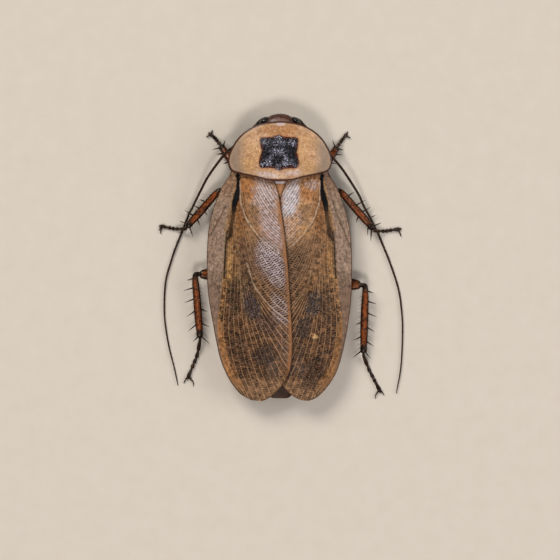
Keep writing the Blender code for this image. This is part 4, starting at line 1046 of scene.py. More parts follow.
# %% Wing finish
def wing_finish():
    look = Finish("wing_cuticle", {"Coat Roughness": 0.26, "Specular IOR Level": 0.06})
    vein, room, reach = look.reading("vein"), look.reading("room"), look.reading("reach")
    paint, edge = look.reading("paint", "Color"), look.reading("edge")
    parts = {"Color": look.reading("make", "Color")}
    specks, ridges, nets = [look.add("ShaderNodeSeparateColor", {}, parts, k) for k in range(3)]
    waver = vein + look.sway(0.9, 0.3)
    nearest = 0.5 - waver.off_half()
    odd = ((waver + 0.5).part("FLOOR") * 0.5).part("FRACT") * 2.0
    far = reach.step(28.0, 38.0)
    kept = 1.0 - odd * room.step(0.34, 0.24).maximum(far * room.step(0.62, 0.5))
    broken = 0.6 + look.noise(0.45).step(0.35, 0.6) * 0.4
    line = (nearest * room).step(0.11, 0.03) * kept * room.step(0.1, 0.2) * broken
    strip = waver.part("FLOOR")
    toss = look.add("ShaderNodeTexWhiteNoise", {"noise_dimensions": "1D"}, {"W": strip + 0.37})
    along = reach + toss * 7.0 + look.sway(0.6, 1.1)
    bar = 0.5 - along.off_half()
    cross = bar.step(0.2, 0.05) * room.step(0.14, 0.26)
    seat = look.add("ShaderNodeCombineXYZ", {}, {0: strip, 1: along.part("FLOOR")})
    luck = look.add("ShaderNodeTexWhiteNoise", {"noise_dimensions": "3D"}, {"Vector": seat})
    cell = (nearest * room).step(0.01, 0.07) * bar.step(0.02, 0.14)
    crowd = specks * (0.62 + look.sway(1.2, 2.4) + look.sway(0.5, 2.0))
    dark = (crowd + luck - 1.0).step(-0.1, 0.25) * cell * (0.5 + luck * 0.5)
    dark = dark * look.noise(0.22, 2.0).step(0.34, 0.46)
    streaked = look.mix(toss * ridges * 0.45, paint, look.mix(0.6, paint, (58, 36, 22)))
    calm = 1.0 - look.reading("calm") * 0.75
    flecks = look.noise(0.28, 4.0, 0.75).step(0.5, 0.64) * calm * 0.6
    streaked = look.mix(flecks, streaked, look.mix(0.45, paint, (236, 200, 168)))
    coarse, fine = look.noise(0.55).step(0.42, 0.62), look.noise(0.2, 2.0).step(0.42, 0.62)
    grain = (coarse * 0.6 + fine * 0.4) * calm
    mottled = look.mix(grain, streaked, look.mix(0.75, paint, (24, 13, 8)))
    colour = look.mix(dark * 0.95, mottled, (20, 12, 8))
    # Painted sheen: where the wing is glossy, its veins turn whitish-lilac and whitish flecks are
    # painted on it
    gloss_and_painted_sheen = look.reading("gloss_and_painted_sheen")
    pale = look.mix(gloss_and_painted_sheen, look.mix(0.55, paint, (216, 172, 128)), (232, 214, 214))
    painted_sheen_flecks = gloss_and_painted_sheen * look.noise(0.45, 4.0, 0.75).step(0.48, 0.64)
    colour = look.mix(painted_sheen_flecks * 0.75, colour, (240, 230, 236))
    # Between netted or glossy veins the membrane is darkened: partly the wing's own pattern, partly
    # painted shade in the grooves between the raised veins
    colour = look.mix((1.0 - line) * (nets + gloss_and_painted_sheen).step(0.0, 1.2) * 0.5, colour, (70, 46, 38))
    drawn = line * ridges * (1.0 - odd * 0.45) * look.noise(0.7).step(0.2, 0.5)
    colour = look.mix(drawn, colour, pale)
    colour = look.mix(cross * nets * (1.0 - line) * 0.8, colour, pale)
    # A dark line along every edge of the wing: its own dark margin, and on the inner edge of the upper
    # left wing also painted shadow
    seam = (edge + look.sway(0.5, 0.06)).step(0.2, 0.08)
    colour = look.mix(seam * 0.8, colour, (58, 32, 18))
    height = line * (0.3 + ridges * 0.7) + cross * nets * 0.7 + look.noise(0.3) * 0.3
    rough = 0.5 - gloss_and_painted_sheen * 0.18 + look.noise(0.6) * 0.1
    return look.cover(colour, rough, height, 0.07, Coat_Weight=gloss_and_painted_sheen * 0.25 + 0.05)


wing_look = wing_finish()
for side, _ in SIDES:
    make_wing(side, wing_look)

# %% [markdown]
# ## Trunk
# Under the wings the thorax and the belly are one skin of overlapping rings. Each ring of the belly
# is narrow in front and widest at its hind edge, where it steps down onto the next one. The last ring
# shows between the wing tips. The small three-sided plate between the wing roots is a part of the
# middle thorax that lies open to view, so it gets a piece of its own. Its finish paints a whitish
# highlight just behind the shield's hind edge, and shade on the part that lies under the shield.

# %% Trunk
TRUNK = profile([
    (20.9, 1.3, 3.9, 5.9), (20.2, 1.9, 3.5, 6.3), (19.2, 3.6, 3.2, 7.0), (17.6, 5.0, 3.1, 7.5),
    (15.9, 4.8, 3.1, 6.5), (15.0, 5.2, 3.15, 5.7), (13.6, 6.4, 3.15, 5.6), (11.5, 7.2, 3.15, 5.8),
    (9.4, 7.4, 3.15, 5.7), (6.0, 7.9, 3.15, 5.2), (3.0, 8.2, 3.2, 5.1), (-2.0, 9.3, 3.1, 5.3),
    (-5.6, 9.7, 2.85, 5.3), (-9.0, 9.7, 2.3, 5.2), (-14.0, 8.8, 1.95, 4.7), (-18.0, 7.2, 2.0, 4.2),
    (-20.0, 5.9, 2.2, 3.8), (-22.0, 4.1, 2.45, 3.6), (-23.2, 2.8, 2.6, 3.45),
    (-24.3, 1.5, 2.8, 3.3),
])
TAIL_END = -24.3
# Where the rings meet, and the stations along each one
RING_CUTS = [15.6, 9.2, 2.9, -0.9, -4.6, -8.2, -11.6, -14.8, -17.7, -20.3, TAIL_END]
RING_STOPS = [0.0, 0.03, 0.08, 0.2, 0.35, 0.5, 0.65, 0.8, 0.92, 0.98, 1.0]


def make_trunk(look):
    stations = [(y, 0.0, 0.5) for y in np.linspace(20.9, 15.8, 16)]
    for front, hind in zip(RING_CUTS, RING_CUTS[1:]):
        stations += [(front + (hind - front) * t, 0.2 * (1 - t) ** 1.4, t) for t in RING_STOPS]
    stations += [(TAIL_END - 0.06, 0.25, 0.8), (TAIL_END - 0.1, 0.7, 0.8)]
    rings = []
    for y, shrink, t in stations:
        half, low, high = TRUNK(max(y, TAIL_END))
        half, low, high = half - shrink, low + shrink / 2, high - shrink / 2
        rings.append(((0.0, y, (low + high) / 2), (half, 0.0, 0.0), (0.0, 0.0, (high - low) / 2), t))
    skin = Skin()
    skin.wrap(rings, 72, lambda t, x, z: max(t**6 * 0.8, abs(x) ** 4), 0.88)
    nodes = ["prothorax", "mesothorax", "metathorax", "abdomen"]
    return place(skin.bm, "trunk", "abdomen", nodes, look, 60)


def trunk_finish():
    look = Finish("belly_cuticle", {
        "Coat Roughness": 0.2, "Coat Weight": 0.08, "Specular IOR Level": 0.25,
        "Specular Tint": shade(255, 214, 180),
    })
    brown = look.mix(look.noise(1.2), (16, 8, 6), (40, 21, 14))
    pale = (look.reading("tone") + look.sway(0.6, 0.3)).step(0.6, 1.0)
    colour = look.mix(pale, brown, (140, 78, 36))
    height = look.noise(0.25) * 0.6 + look.cells(0.3) * 0.4
    return look.cover(colour, (0.5, 0.2, 0.3), height, 0.04)


def plate_finish():
    look = Finish("plate_cuticle", {"Coat Roughness": 0.2, "Coat Weight": 0.5})
    tan = look.mix(look.noise(0.6), (158, 100, 56), (188, 134, 84))
    colour = look.mix(look.noise(0.3).step(0.5, 0.65) * 0.6, tan, (126, 76, 42))
    front = look.millimetres(1)
    # Painted highlight: a whitish bar across the plate just behind the shield's hind edge
    bar = front.step(12.7, 12.8) * front.step(13.15, 13.05) * look.noise(0.4).step(0.35, 0.5)
    with_painted_glint = look.mix(bar, colour, (214, 204, 208))
    # Painted shade: the part of the plate that lies under the shield is dark
    colour = look.mix(front.step(13.1, 13.3), with_painted_glint, (48, 24, 16))
    return look.cover(colour, (0.4, 0.2, 0.25), look.noise(0.3), 0.05)


PLATE = [(-2.1, 14.3, 6.7), (0.1, 10.2, 6.7), (2.4, 14.3, 6.7)]


def make_plate(look):
    """A three-sided plate with a keel that widens towards the head."""
    bm = bmesh.new()
    made = bmesh.ops.create_circle(bm, cap_ends=True, segments=3, radius=1.0)["verts"]
    for vert, spot in zip(made, PLATE):
        vert.co = spot
    bmesh.ops.subdivide_edges(bm, edges=bm.edges, cuts=5, use_grid_fill=True)
    grown = bmesh.ops.extrude_face_region(bm, geom=list(bm.faces))
    top = [vert for vert in grown["geom"] if isinstance(vert, bmesh.types.BMVert)]
    bmesh.ops.translate(bm, vec=(0, 0, -1.5), verts=[vert for vert in bm.verts if vert not in top])
    for vert in top:
        keel = 0.25 + 0.3 * (vert.co.y - PLATE[1][1])
        vert.co.z += 0.36 * math.exp(-(((vert.co.x - PLATE[1][0]) / keel) ** 2))
    rim = [edge for edge in bm.edges if len(edge.link_faces) == 2 and edge.calc_face_angle() > 1.0]
    bmesh.ops.bevel(bm, geom=rim, offset=0.1, segments=3, profile=0.5, affect="EDGES", material=-1)
    return place(bm, "plate", "thorax", ["mesothorax"], look, 60)


make_trunk(trunk_finish())
make_plate(plate_finish())

# %% [markdown]
# ## Hind wings
# The hind wings lie pleated like a fan between the fore wings and the back. They are thin veils that
# only show from the side, so a pleated grid of one thickness is enough.

# %% Hind wings
HINDWING_OUTER = [
    (5.0, 8.6), (7.4, 6.0), (8.0, 0.0), (7.8, -8.0), (6.8, -14.5), (4.6, -19.2), (0.6, -20.5),
]


PLEATS = 9
HINDWING_FRONT, HINDWING_LENGTH = 8.6, 29.0


def make_hind_wing(side, sign, look):
    bm = bmesh.new()
    middle = np.array([(0.25, HINDWING_FRONT), (0.25, HINDWING_FRONT - HINDWING_LENGTH)])
    spots, across = stretch_grid(bm, (56, 90), middle, curve(HINDWING_OUTER, 200))
    x, y = spots.T
    rise = 0.84 * soft_step((x - 4.2) / 1.6) + 0.05 * np.cos(math.tau * PLEATS * across)
    z = arched_back(x, y) - 1.74 + rise
    for vert, spot in zip(bm.verts, zip(sign * x, y, z)):
        vert.co = spot
    layer(bm, "pleat", across * PLEATS)
    thicken(bm, 0.12)
    return place(bm, f"hind_wing_{side}", "hindwing", [f"hindwing_{side}"], look)


def veil_finish():
    look = Finish("veil_cuticle", {"Coat Roughness": 0.3, "Coat Weight": 0.2})
    fold = look.reading("pleat").off_half()
    veil = look.mix(look.noise(0.8), (150, 120, 92), (176, 148, 118))
    colour = look.mix(fold.step(0.42, 0.5) * 0.7, veil, (96, 66, 44))
    return look.cover(colour, (0.5, 0.2, 0.35), look.noise(0.3), 0.04)


veil_look = veil_finish()
for side, sign in SIDES:
    make_hind_wing(side, sign, veil_look)

# %% [markdown]
# ## Head
# The head hangs down under the front of the shield, so only its brown crown shows from above, between
# the two black eyes. It is a stack of level rings from the crown to the mouth. The face has a pale
# lower plate, two pale spots by the feelers and two round sockets for these. A pale band along the top
# of the crown is a painted highlight.

# %% Head
HEAD = profile([
    (6.5, 22.85, 0.5, 0.3), (6.4, 22.9, 1.3, 0.8), (6.1, 23.05, 2.15, 1.3), (5.6, 23.15, 2.5, 1.62),
    (4.9, 23.2, 2.55, 1.7), (4.0, 23.1, 2.15, 1.7), (3.4, 22.85, 2.2, 1.55), (2.9, 22.5, 1.95, 1.3),
    (2.4, 22.15, 1.55, 1.05), (2.1, 22.0, 1.2, 0.8),
])


def face_tone(z, x, y):
    """The face is pale below, most of all in front."""
    return float(soft_step((3.3 - z) / 0.3)) * (1.0 if y > 0.2 else 0.3)


def make_head(look):
    skin = Skin()
    skin.stack(HEAD, np.linspace(2.1, 6.5, 46), 56, face_tone, 0.95)
    for _, sign in SIDES:
        skin.ball((sign * 1.62, 24.05, 3.05), (0.52, 0.42, 0.46), 0.7)
        skin.ball((sign * 1.25, 24.62, 3.75), (0.2, 0.1, 0.22), 1.0)
    return place(skin.bm, "head_shell", "head", ["head"], look)


def head_finish():
    look = Finish("head_cuticle", {
        "Coat Roughness": 0.16, "Coat Weight": 0.12, "Specular IOR Level": 0.25,
    })
    tone = look.reading("tone")
    height = look.reading("run")
    brown = look.mix(look.noise(0.8), (40, 22, 15), (72, 42, 30))
    crown = look.mix(height.step(5.2, 6.3) * 0.5, brown, (84, 50, 38))
    crown = look.mix(look.noise(0.3, 4.0, 0.7).step(0.5, 0.64) * 0.5, crown, (124, 96, 86))
    # Painted highlight: a pale band along the top of the crown, under the shield's front edge
    painted_highlight_band = (height + look.noise(0.5) * 0.3).step(6.3, 6.55)
    crown = look.mix(painted_highlight_band * 0.5, crown, (170, 132, 118))
    colour = look.mix(tone, crown, (176, 128, 82))
    grain = look.noise(0.2) * 0.6 + look.noise(0.7) * 0.6
    return look.cover(colour, (0.4, 0.18, 0.24), grain, 0.05)


def make_eye(side, sign, look):
    """A kidney-shaped eye that bends round the socket of the feeler."""
    bm = bmesh.new()
    bmesh.ops.create_uvsphere(bm, u_segments=40, v_segments=28, radius=1.0)
    for vert in bm.verts:
        x, y, z = vert.co
        dent = 0.28 * math.exp(-((z + 0.25) ** 2) / 0.12) * max(0.0, y) ** 2
        slant = 23.55 - 0.34 * x
        vert.co = (sign * (2.8 + x * 0.86), slant + y * 0.74 - dent * 0.5, 5.0 + z * 1.25)
    return place(bm, f"eye_{side}_lens", "eye", [f"eye_{side}"], look)


def eye_finish():
    look = Finish("eye_lens", {"Coat Roughness": 0.05, "Specular IOR Level": 0.1})
    facets = look.cells(0.045, randomness=0.15)
    colour = look.mix(look.noise(0.7), (5, 4, 4), (16, 10, 9))
    colour = look.mix(facets.step(0.45, 0.65) * 0.3, colour, (30, 22, 20))
    wet = look.millimetres(2).step(5.7, 6.1) * 0.9 + 0.08
    return look.cover(colour, facets * 0.1 + 0.25, 1.0 - facets, 0.0006, Coat_Weight=wet)


make_head(head_finish())
eye_look = eye_finish()
for side, sign in SIDES:
    make_eye(side, sign, eye_look)

# %% [markdown]
# ## Mouth
# An upper lip in front, two jaws, a lower lip behind and a pair of bent feelers with four joints. They
# are short stacks and tubes of rings, dark and glossy, with paler edges.

# %% Mouth
# Tables of height, middle, half width and half depth, and the path of a mouth feeler
LIPS = {
    "labrum": [
        (1.15, 22.6, 0.5, 0.2), (1.5, 22.75, 0.85, 0.27), (2.1, 22.85, 0.95, 0.28),
        (2.5, 22.8, 0.9, 0.26),
    ],
    "labium": [
        (0.95, 20.6, 0.5, 0.26), (1.4, 20.7, 0.8, 0.3), (2.1, 20.85, 0.9, 0.3), (2.6, 21.3, 0.8, 0.3),
    ],
}
JAW = [
    (1.05, 21.85, 0.2, 0.24), (1.45, 21.8, 0.4, 0.36), (2.05, 21.75, 0.5, 0.38), (2.6, 21.8, 0.5, 0.4),
]
PALP = [
    (1.35, 21.4, 2.3), (1.45, 21.3, 1.7), (1.75, 21.9, 1.35), (2.3, 22.5, 1.5), (2.5, 23.2, 1.1),
    (2.3, 23.7, 0.7),
]
PALP_JOINTS = 5


def make_lip(name, slot, rows, offset, nodes, look):
    low, high = rows[0][0], rows[-1][0]
    skin = Skin()
    pale_end = lambda z, x, y: 0.6 * float(soft_step((low + 0.4 - z) / 0.4))
    skin.stack(profile(rows), np.linspace(low, high, 14), 28, pale_end, 0.9, offset)
    return place(skin.bm, name, slot, nodes, look)


def joints(t, count):
    """A wave that swells along each joint and narrows between joints."""
    return abs(math.sin(math.pi * t * count)) ** 0.5


def mouth_finish():
    look = Finish("mouth_cuticle", {"Coat Roughness": 0.15, "Coat Weight": 0.6})
    brown = look.mix(look.noise(0.5), (46, 24, 17), (76, 42, 28))
    colour = look.mix(look.reading("tone"), brown, (170, 112, 66))
    return look.cover(colour, (0.4, 0.2, 0.22), look.noise(0.2), 0.03)


def make_palp(side, sign, look):
    skin = Skin()
    route = curve([(sign * x, y, z) for x, y, z in PALP], 48)
    size = lambda t: (0.19 + 0.08 * joints(t, PALP_JOINTS) - 0.1 * t**8,) * 2
    skin.tube(route, size, 14, lambda t, x, y: 1 - joints(t, PALP_JOINTS))
    return place(skin.bm, f"feeler_of_mouth_{side}", "mouth", [f"palp_{side}"], look)


mouth_look = mouth_finish()
for name, rows in LIPS.items():
    make_lip(f"{name}_shell", "mouth", rows, 0, [name], mouth_look)
for side, sign in SIDES:
    make_lip(f"jaw_{side}", "jaw", JAW, sign, [f"mandible_{side}"], mouth_look)
    make_palp(side, sign, mouth_look)

# %% [markdown]
# ## Feelers
# A feeler is a stout first joint at the face and then some 140 short rings that grow longer and thinner
# towards the tip. One tube carries them all: its radius dips a little at every joint, which is
# what gives a real feeler its fine beaded outline.

# %% Feelers
FEELERS = {
    "left": [
        (-1.7, 24.0, 3.05), (-2.1, 24.0, 3.05), (-3.0, 23.75, 2.95), (-3.75, 23.25, 3.4),
        (-4.5, 22.55, 4.4), (-5.6, 21.4, 5.1), (-6.95, 20.05, 5.1), (-8.3, 18.95, 4.95),
        (-9.4, 18.1, 4.8), (-12.2, 14.4, 4.2), (-13.8, 11.5, 3.2), (-15.0, 9.1, 2.35),
        (-15.6, 7.9, 2.2), (-15.85, 7.4, 1.95), (-16.2, 6.5, 1.2), (-16.5, 5.8, 0.72),
        (-16.8, 5.0, 0.42), (-17.2, 4.0, 0.36), (-17.9, 2.3, 0.38), (-18.75, -0.1, 0.38),
        (-19.8, -3.8, 0.36), (-20.1, -7.4, 0.35), (-20.0, -11.1, 0.34), (-19.3, -15.5, 0.33),
        (-18.4, -19.1, 0.32), (-17.75, -22.2, 0.31),
    ],
    "right": [
        (1.7, 24.0, 3.05), (2.1, 24.0, 3.05), (3.0, 23.75, 2.95), (3.75, 23.25, 3.4),
        (4.5, 22.5, 4.4), (5.5, 21.35, 5.1), (6.75, 20.05, 5.1), (7.95, 18.75, 4.95),
        (8.95, 17.5, 4.8), (10.7, 15.4, 4.4), (12.4, 12.9, 3.6), (13.7, 10.8, 2.8),
        (14.45, 9.1, 2.35), (14.9, 8.25, 2.15), (15.35, 7.45, 1.5), (15.75, 6.75, 1.05),
        (16.2, 5.85, 0.72), (16.6, 5.05, 0.44), (17.1, 4.05, 0.36), (17.85, 2.2, 0.38),
        (19.1, -0.9, 0.38), (20.6, -5.6, 0.36), (21.22, -10.3, 0.35), (21.26, -14.7, 0.34),
        (20.95, -19.5, 0.33), (20.2, -23.6, 0.32),
    ],
}
FEELER_RINGS = 140
FEELER_PARTS = ["scape", "a", "b", "c", "d"]
FIRST_JOINT = 0.05  # its share of the feeler


def bead(t):
    """0 between two rings of a feeler and 1 in the middle of a ring."""
    return abs(math.sin(math.pi * FEELER_RINGS * t**0.92))


def feeler_size(t):
    if t < FIRST_JOINT:
        wide = 0.3 + 0.15 * math.sin(math.pi * min(1.0, t / 0.045)) ** 0.7
    else:
        wide = (0.265 - 0.15 * t) * (0.9 + 0.12 * bead(t) ** 0.4) - 0.05 * t**40
    return wide, wide


def make_feeler(side, look):
    skin = Skin()
    ringed = lambda t, x, y: 1.0 - bead(t) ** 0.5 if t > FIRST_JOINT else 0.2
    skin.tube(curve(FEELERS[side], 1100), feeler_size, 12, ringed)
    nodes = [f"antenna_{side}_{part}" for part in FEELER_PARTS]
    return place(skin.bm, f"feeler_{side}", "antenna", nodes, look)


def feeler_finish():
    look = Finish("feeler_cuticle", {"Specular IOR Level": 0.25, "Specular Tint": shade(255, 214, 190)})
    black = look.mix(look.noise(0.8), (20, 12, 10), (46, 30, 22))
    colour = look.mix(look.reading("tone").step(0.3, 0.9) * 0.5, black, (88, 62, 46))
    return look.cover(colour, (0.3, 0.2, 0.4), look.noise(0.08), 0.02)


feeler_look = feeler_finish()
for side, _ in SIDES:
    make_feeler(side, feeler_look)

# %% [markdown]
# ## Legs
# Each leg is a broad hip, a flattened thigh, a shin with long movable spines and a foot of five joints
# on pale pads, with two hooked claws. The joints are dark, and the edges of every part are darkened as
# painted shade on their rounded sides, while the flat sides are amber. So the tone that is kept on
# every vertex is strongest on the edges.

# %% Leg table
# Each spine: share of the shin, side, length, lean towards the foot in degrees, and maybe droop
LEGS = {
    "front_left": dict(
        hip=((-3.0, 19.0, 2.15), (-2.6, 15.3, 1.8)), wide=1.35,
        knee=(-6.9, 15.2, 2.9), ankle=(-10.2, 19.35, 1.15),
        foot=[(-10.6, 19.85), (-11.1, 20.5), (-11.6, 21.05), (-12.2, 21.5)],
        claws=[(-12.85, 21.0), (-11.6, 22.0)],
        spines=[
            (0.35, -1, 1.0, 15), (0.6, 1, 1.0, 20), (0.7, -1, 1.2, 25), (0.93, 1, 0.9, 35),
            (0.95, -1, 1.3, 20),
        ],
    ),
    "front_right": dict(
        hip=((3.0, 19.0, 2.15), (2.6, 15.3, 1.8)), wide=1.35,
        knee=(6.8, 15.2, 2.9), ankle=(9.9, 19.15, 1.15),
        foot=[(10.3, 19.7), (10.7, 20.3), (11.1, 20.85), (11.5, 21.35)],
        claws=[(12.25, 20.75), (11.85, 21.95)],
        spines=[
            (0.35, -1, 1.0, 15), (0.6, 1, 0.9, 20), (0.7, -1, 1.2, 25), (0.93, 1, 1.15, 35),
            (0.95, -1, 0.9, 20),
        ],
    ),
    "middle_left": dict(
        hip=((-3.4, 13.2, 2.15), (-3.0, 9.3, 1.7)), wide=1.2,
        knee=(-9.8, 11.4, 2.75), ankle=(-16.15, 5.3, 1.9),
        foot=[(-16.7, 5.15), (-18.2, 5.0), (-19.6, 5.25), (-20.7, 5.45)],
        claws=[(-21.12, 4.8), (-20.6, 4.1)],
        spines=[
            (0.36, 1, 1.15, 15, 0.7), (0.53, 1, 1.5, 15, 0.75), (0.73, 1, 1.8, 10, 0.85),
            (0.92, 1, 1.25, 25, -0.1), (0.5, -1, 1.0, 20), (0.72, -1, 1.3, 25), (0.94, -1, 1.7, 30),
        ],
    ),
    "middle_right": dict(
        hip=((3.4, 13.2, 2.15), (3.0, 9.3, 1.7)), wide=1.2,
        knee=(9.6, 11.35, 2.75), ankle=(16.2, 4.95, 1.9),
        foot=[(16.75, 4.8), (18.2, 4.6), (19.5, 4.8), (20.8, 4.95)],
        claws=[(21.2, 5.05), (21.1, 3.6)],
        spines=[
            (0.18, 1, 1.3, 10, 0.7), (0.42, 1, 1.9, 12, 0.75), (0.6, 1, 1.7, 10, 0.95),
            (0.77, 1, 1.6, 15, -0.15), (0.94, 1, 1.4, 20, -0.1), (0.6, -1, 1.2, 25),
            (0.85, -1, 1.6, 45), (0.95, -1, 2.0, 45),
        ],
    ),
    "hind_left": dict(
        hip=((-4.0, 6.3, 2.2), (-3.2, -2.1, 1.6)), wide=1.6,
        knee=(-13.9, -2.9, 3.1), ankle=(-13.9, -13.9, 1.4),
        foot=[(-13.95, -14.5), (-14.4, -16.9), (-15.1, -18.7), (-16.0, -20.9)],
        claws=[(-16.75, -21.9), (-15.1, -22.4)],
        spines=[
            (0.06, 1, 1.0, 10), (0.2, 1, 1.75, 12), (0.37, 1, 1.8, 18), (0.55, 1, 1.8, 30),
            (0.76, 1, 1.9, 35), (0.52, -1, 1.4, 28), (0.75, -1, 1.6, 30), (0.96, -1, 1.8, 45),
            (0.96, 1, 1.1, 40),
        ],
    ),
    "hind_right": dict(
        hip=((4.0, 6.3, 2.2), (3.2, -2.9, 1.6)), wide=1.6,
        knee=(14.0, -4.8, 3.1), ankle=(14.5, -16.6, 1.4),
        foot=[(14.6, -17.2), (15.4, -19.3), (16.5, -21.5), (17.4, -23.2)],
        claws=[(18.15, -24.0), (16.6, -24.6)],
        spines=[
            (0.07, 1, 1.05, 15), (0.22, 1, 1.6, 15), (0.39, 1, 1.75, 20), (0.59, 1, 1.6, 30),
            (0.8, 1, 1.6, 32), (0.95, 1, 1.4, 50), (0.52, -1, 1.2, 25), (0.74, -1, 1.6, 25),
            (0.94, -1, 2.0, 40),
        ],
    ),
}
# Share of the way, half width and half height
HIP = profile([
    (0.0, 0.7, 0.4), (0.12, 1.15, 0.56), (0.35, 1.25, 0.6), (0.6, 0.95, 0.54), (0.8, 0.55, 0.45),
    (1.0, 0.4, 0.36),
])
THIGH = profile([
    (0.0, 0.3, 0.3), (0.05, 0.42, 0.38), (0.2, 0.48, 0.45), (0.38, 0.92, 0.56), (0.6, 1.1, 0.58),
    (0.84, 1.02, 0.55), (0.94, 0.86, 0.5), (0.985, 0.66, 0.44), (1.0, 0.4, 0.28),
])
SHIN = profile([
    (0.0, 0.28, 0.28), (0.05, 0.42, 0.38), (0.14, 0.52, 0.44), (0.35, 0.65, 0.45),
    (0.7, 0.68, 0.46), (0.89, 0.58, 0.46), (0.95, 0.6, 0.5), (0.99, 0.5, 0.42), (1.0, 0.3, 0.28),
])
FOOT_JOINTS = [0.38, 0.15, 0.13, 0.11, 0.23]
FOOT_HEIGHT = 0.34
JOINT_GAP, FOLD_ROOM = 0.3, 0.9  # room at a joint, and more of it where the next part folds back
print("legs:", len(LEGS), "with", sum(len(leg["spines"]) for leg in LEGS.values()), "spines")

# %% [markdown]
# ## Leg shapes
# Every part runs a little way into the one before it, so that no gap opens at a joint. The shin leaves
# the thigh in a short bend, as a real knee does. A spine is a thin curved cone on a round socket.


# %% Leg shapes
def dark_ends_and_shaded_sides(start, soft, power):
    """A tone that is darkest at both ends of a part, at its joints, and along its edges as painted
    shade.
    """
    def tone(t, x, y):
        ends = max(float(soft_step((0.26 - t) / 0.2)), float(soft_step((t - start) / soft)))
        # The dark along the edges is painted shade on the rounded sides
        return max(ends, abs(x) ** power)
    return tone


DARK_JOINTS_SHADED_SIDES = dark_ends_and_shaded_sides(0.8, 0.14, 1.3)
THIGH_DARK_JOINTS_SHADED_SIDES = dark_ends_and_shaded_sides(0.94, 0.06, 1.6)  # a thigh stays amber nearly up to its knee


def taper(thick, power, least):
    """The size of a spine, claw or hair, which narrows towards its tip."""
    return lambda t: (thick * (1 - t) ** power + least,) * 2


def even(tone):
    return lambda t, x, y: tone


def past(joint, before, after, radius):
    """Where the next part starts, so that it clears the one before it."""
    cosine = before.dot(after)
    sine = math.sqrt(max(0.0, 1.0 - cosine * cosine))
    return joint + before * (JOINT_GAP + radius * sine + FOLD_ROOM * max(0.0, -cosine))


def add_spine(skin, base, out, wide, length, droop):
    tip = base + out * (0.53 + length) + UP * droop
    root = base + out * wide * 0.5
    middle = root.lerp(tip, 0.5) + UP * 0.06 * length
    skin.tube(curve([root, middle, tip], 14), taper(0.15, 0.8, 0.012), 8, even(1.0))
    skin.ball(base + out * wide * 0.9, (0.19, 0.19, 0.19), 0.8, 10)


def add_bristles(skin, path, size, share, count, length, side):
    """A row of fine hairs along one edge of a part."""
    for k in range(count):
        t = share[0] + (share[1] - share[0]) * (k + 0.5) / count
        spot = t * (len(path) - 1)
        a, b = Vector(path[int(spot)]), Vector(path[min(int(spot) + 1, len(path) - 1)])
        ahead = (b - a).normalized()
        out = ahead.cross(UP).normalized() * side
        base = a.lerp(b, spot - int(spot)) + out * size(t)[0] * 0.9
        reach = length * (0.75 + 0.5 * noise.random())
        tip = base + out * reach + ahead * reach * 0.5 + UP * (noise.random() - 0.6) * 0.3
        skin.tube([base, base.lerp(tip, 0.5), tip], taper(0.035, 1, 0.006), 5, even(0.9))


def make_leg(name, leg, amber, dark):
    root, tip, knee, ankle = (Vector(p) for p in (*leg["hip"], leg["knee"], leg["ankle"]))
    sign = 1 if name.endswith("left") else -1
    hip = Skin()
    swell = leg["wide"] - 1.0
    hip.tube(
        [root.lerp(tip, t) for t in np.linspace(0, 1, 34)],
        lambda t: (HIP(t)[0] * (1 + swell * (1 - t)), HIP(t)[1]), 28, DARK_JOINTS_SHADED_SIDES,
    )
    place(hip.bm, f"{name}_hip", "leg", [f"{name}_coxa"], amber)
    down, ahead = (tip - root).normalized(), (knee - tip).normalized()
    start = past(tip, down, ahead, 0.4)
    along = [start.lerp(knee, t) for t in (0.08, 0.5)]
    thigh_path = curve([tip - down * 0.25, tip + down * 0.1, *along, knee], 60)
    thigh = Skin()
    thigh.tube(thigh_path, THIGH, 28, THIGH_DARK_JOINTS_SHADED_SIDES)
    for side in (-1, 1):
        add_bristles(thigh, thigh_path, THIGH, (0.5, 0.93), 16, 0.45, side)
    place(thigh.bm, f"{name}_thigh", "leg", [f"{name}_femur"], amber)
    ahead = (knee - start).normalized()
    shin = (ankle - knee).normalized()
    start = past(knee, ahead, shin, 0.52)
    shin = (ankle - start).normalized()
    bend = [knee - ahead * 0.35, knee + (start - knee) * 0.55, start + shin * 0.55]
    shin_path = curve(bend + [start.lerp(ankle, t) for t in (0.4, 0.7, 1.0)], 70)
    limb = Skin()
    limb.tube(shin_path, SHIN, 24, DARK_JOINTS_SHADED_SIDES)
    level = Vector((shin.x, shin.y, 0.0)).normalized()
    across = Vector((level.y, -level.x, 0.0)) * sign
    for t, side, length, lean, *low in leg["spines"]:
        angle = math.radians(lean)
        out = across * side * math.cos(angle) + level * math.sin(angle)
        droop = -(low[0] if low else 0.25) * length
        add_spine(limb, start.lerp(ankle, t), out, SHIN(t)[0], length, droop)
    for side in (-1, 1):
        add_bristles(limb, shin_path, SHIN, (0.2, 0.95), 14, 0.35 if side * sign > 0 else 0.6, side)
    place(limb.bm, f"{name}_shin", "leg", [f"{name}_tibia"], amber)
    make_foot(name, leg, shin, ankle, dark)

print("leg parts: hip, thigh, shin")

# %% [markdown]
# ## Feet
# A foot is one tube whose five joints swell towards their far ends. Small pale pads lie under the
# joints, a larger one sits between the claws, and nothing may sink below the floor.


# %% Feet
def foot_size(t):
    """Half width and half height along the five joints, each widest near its far end."""
    start = 0.0
    for part in FOOT_JOINTS:
        if t <= start + part or part is FOOT_JOINTS[-1]:
            s = min(1.0, (t - start) / part)
            swell, nip = (float(soft_step(u)) for u in (s / 0.8, (s - 0.86) / 0.14))
            return 0.2 + 0.15 * swell - 0.12 * nip, 0.19 + 0.14 * swell - 0.12 * nip
        start += part


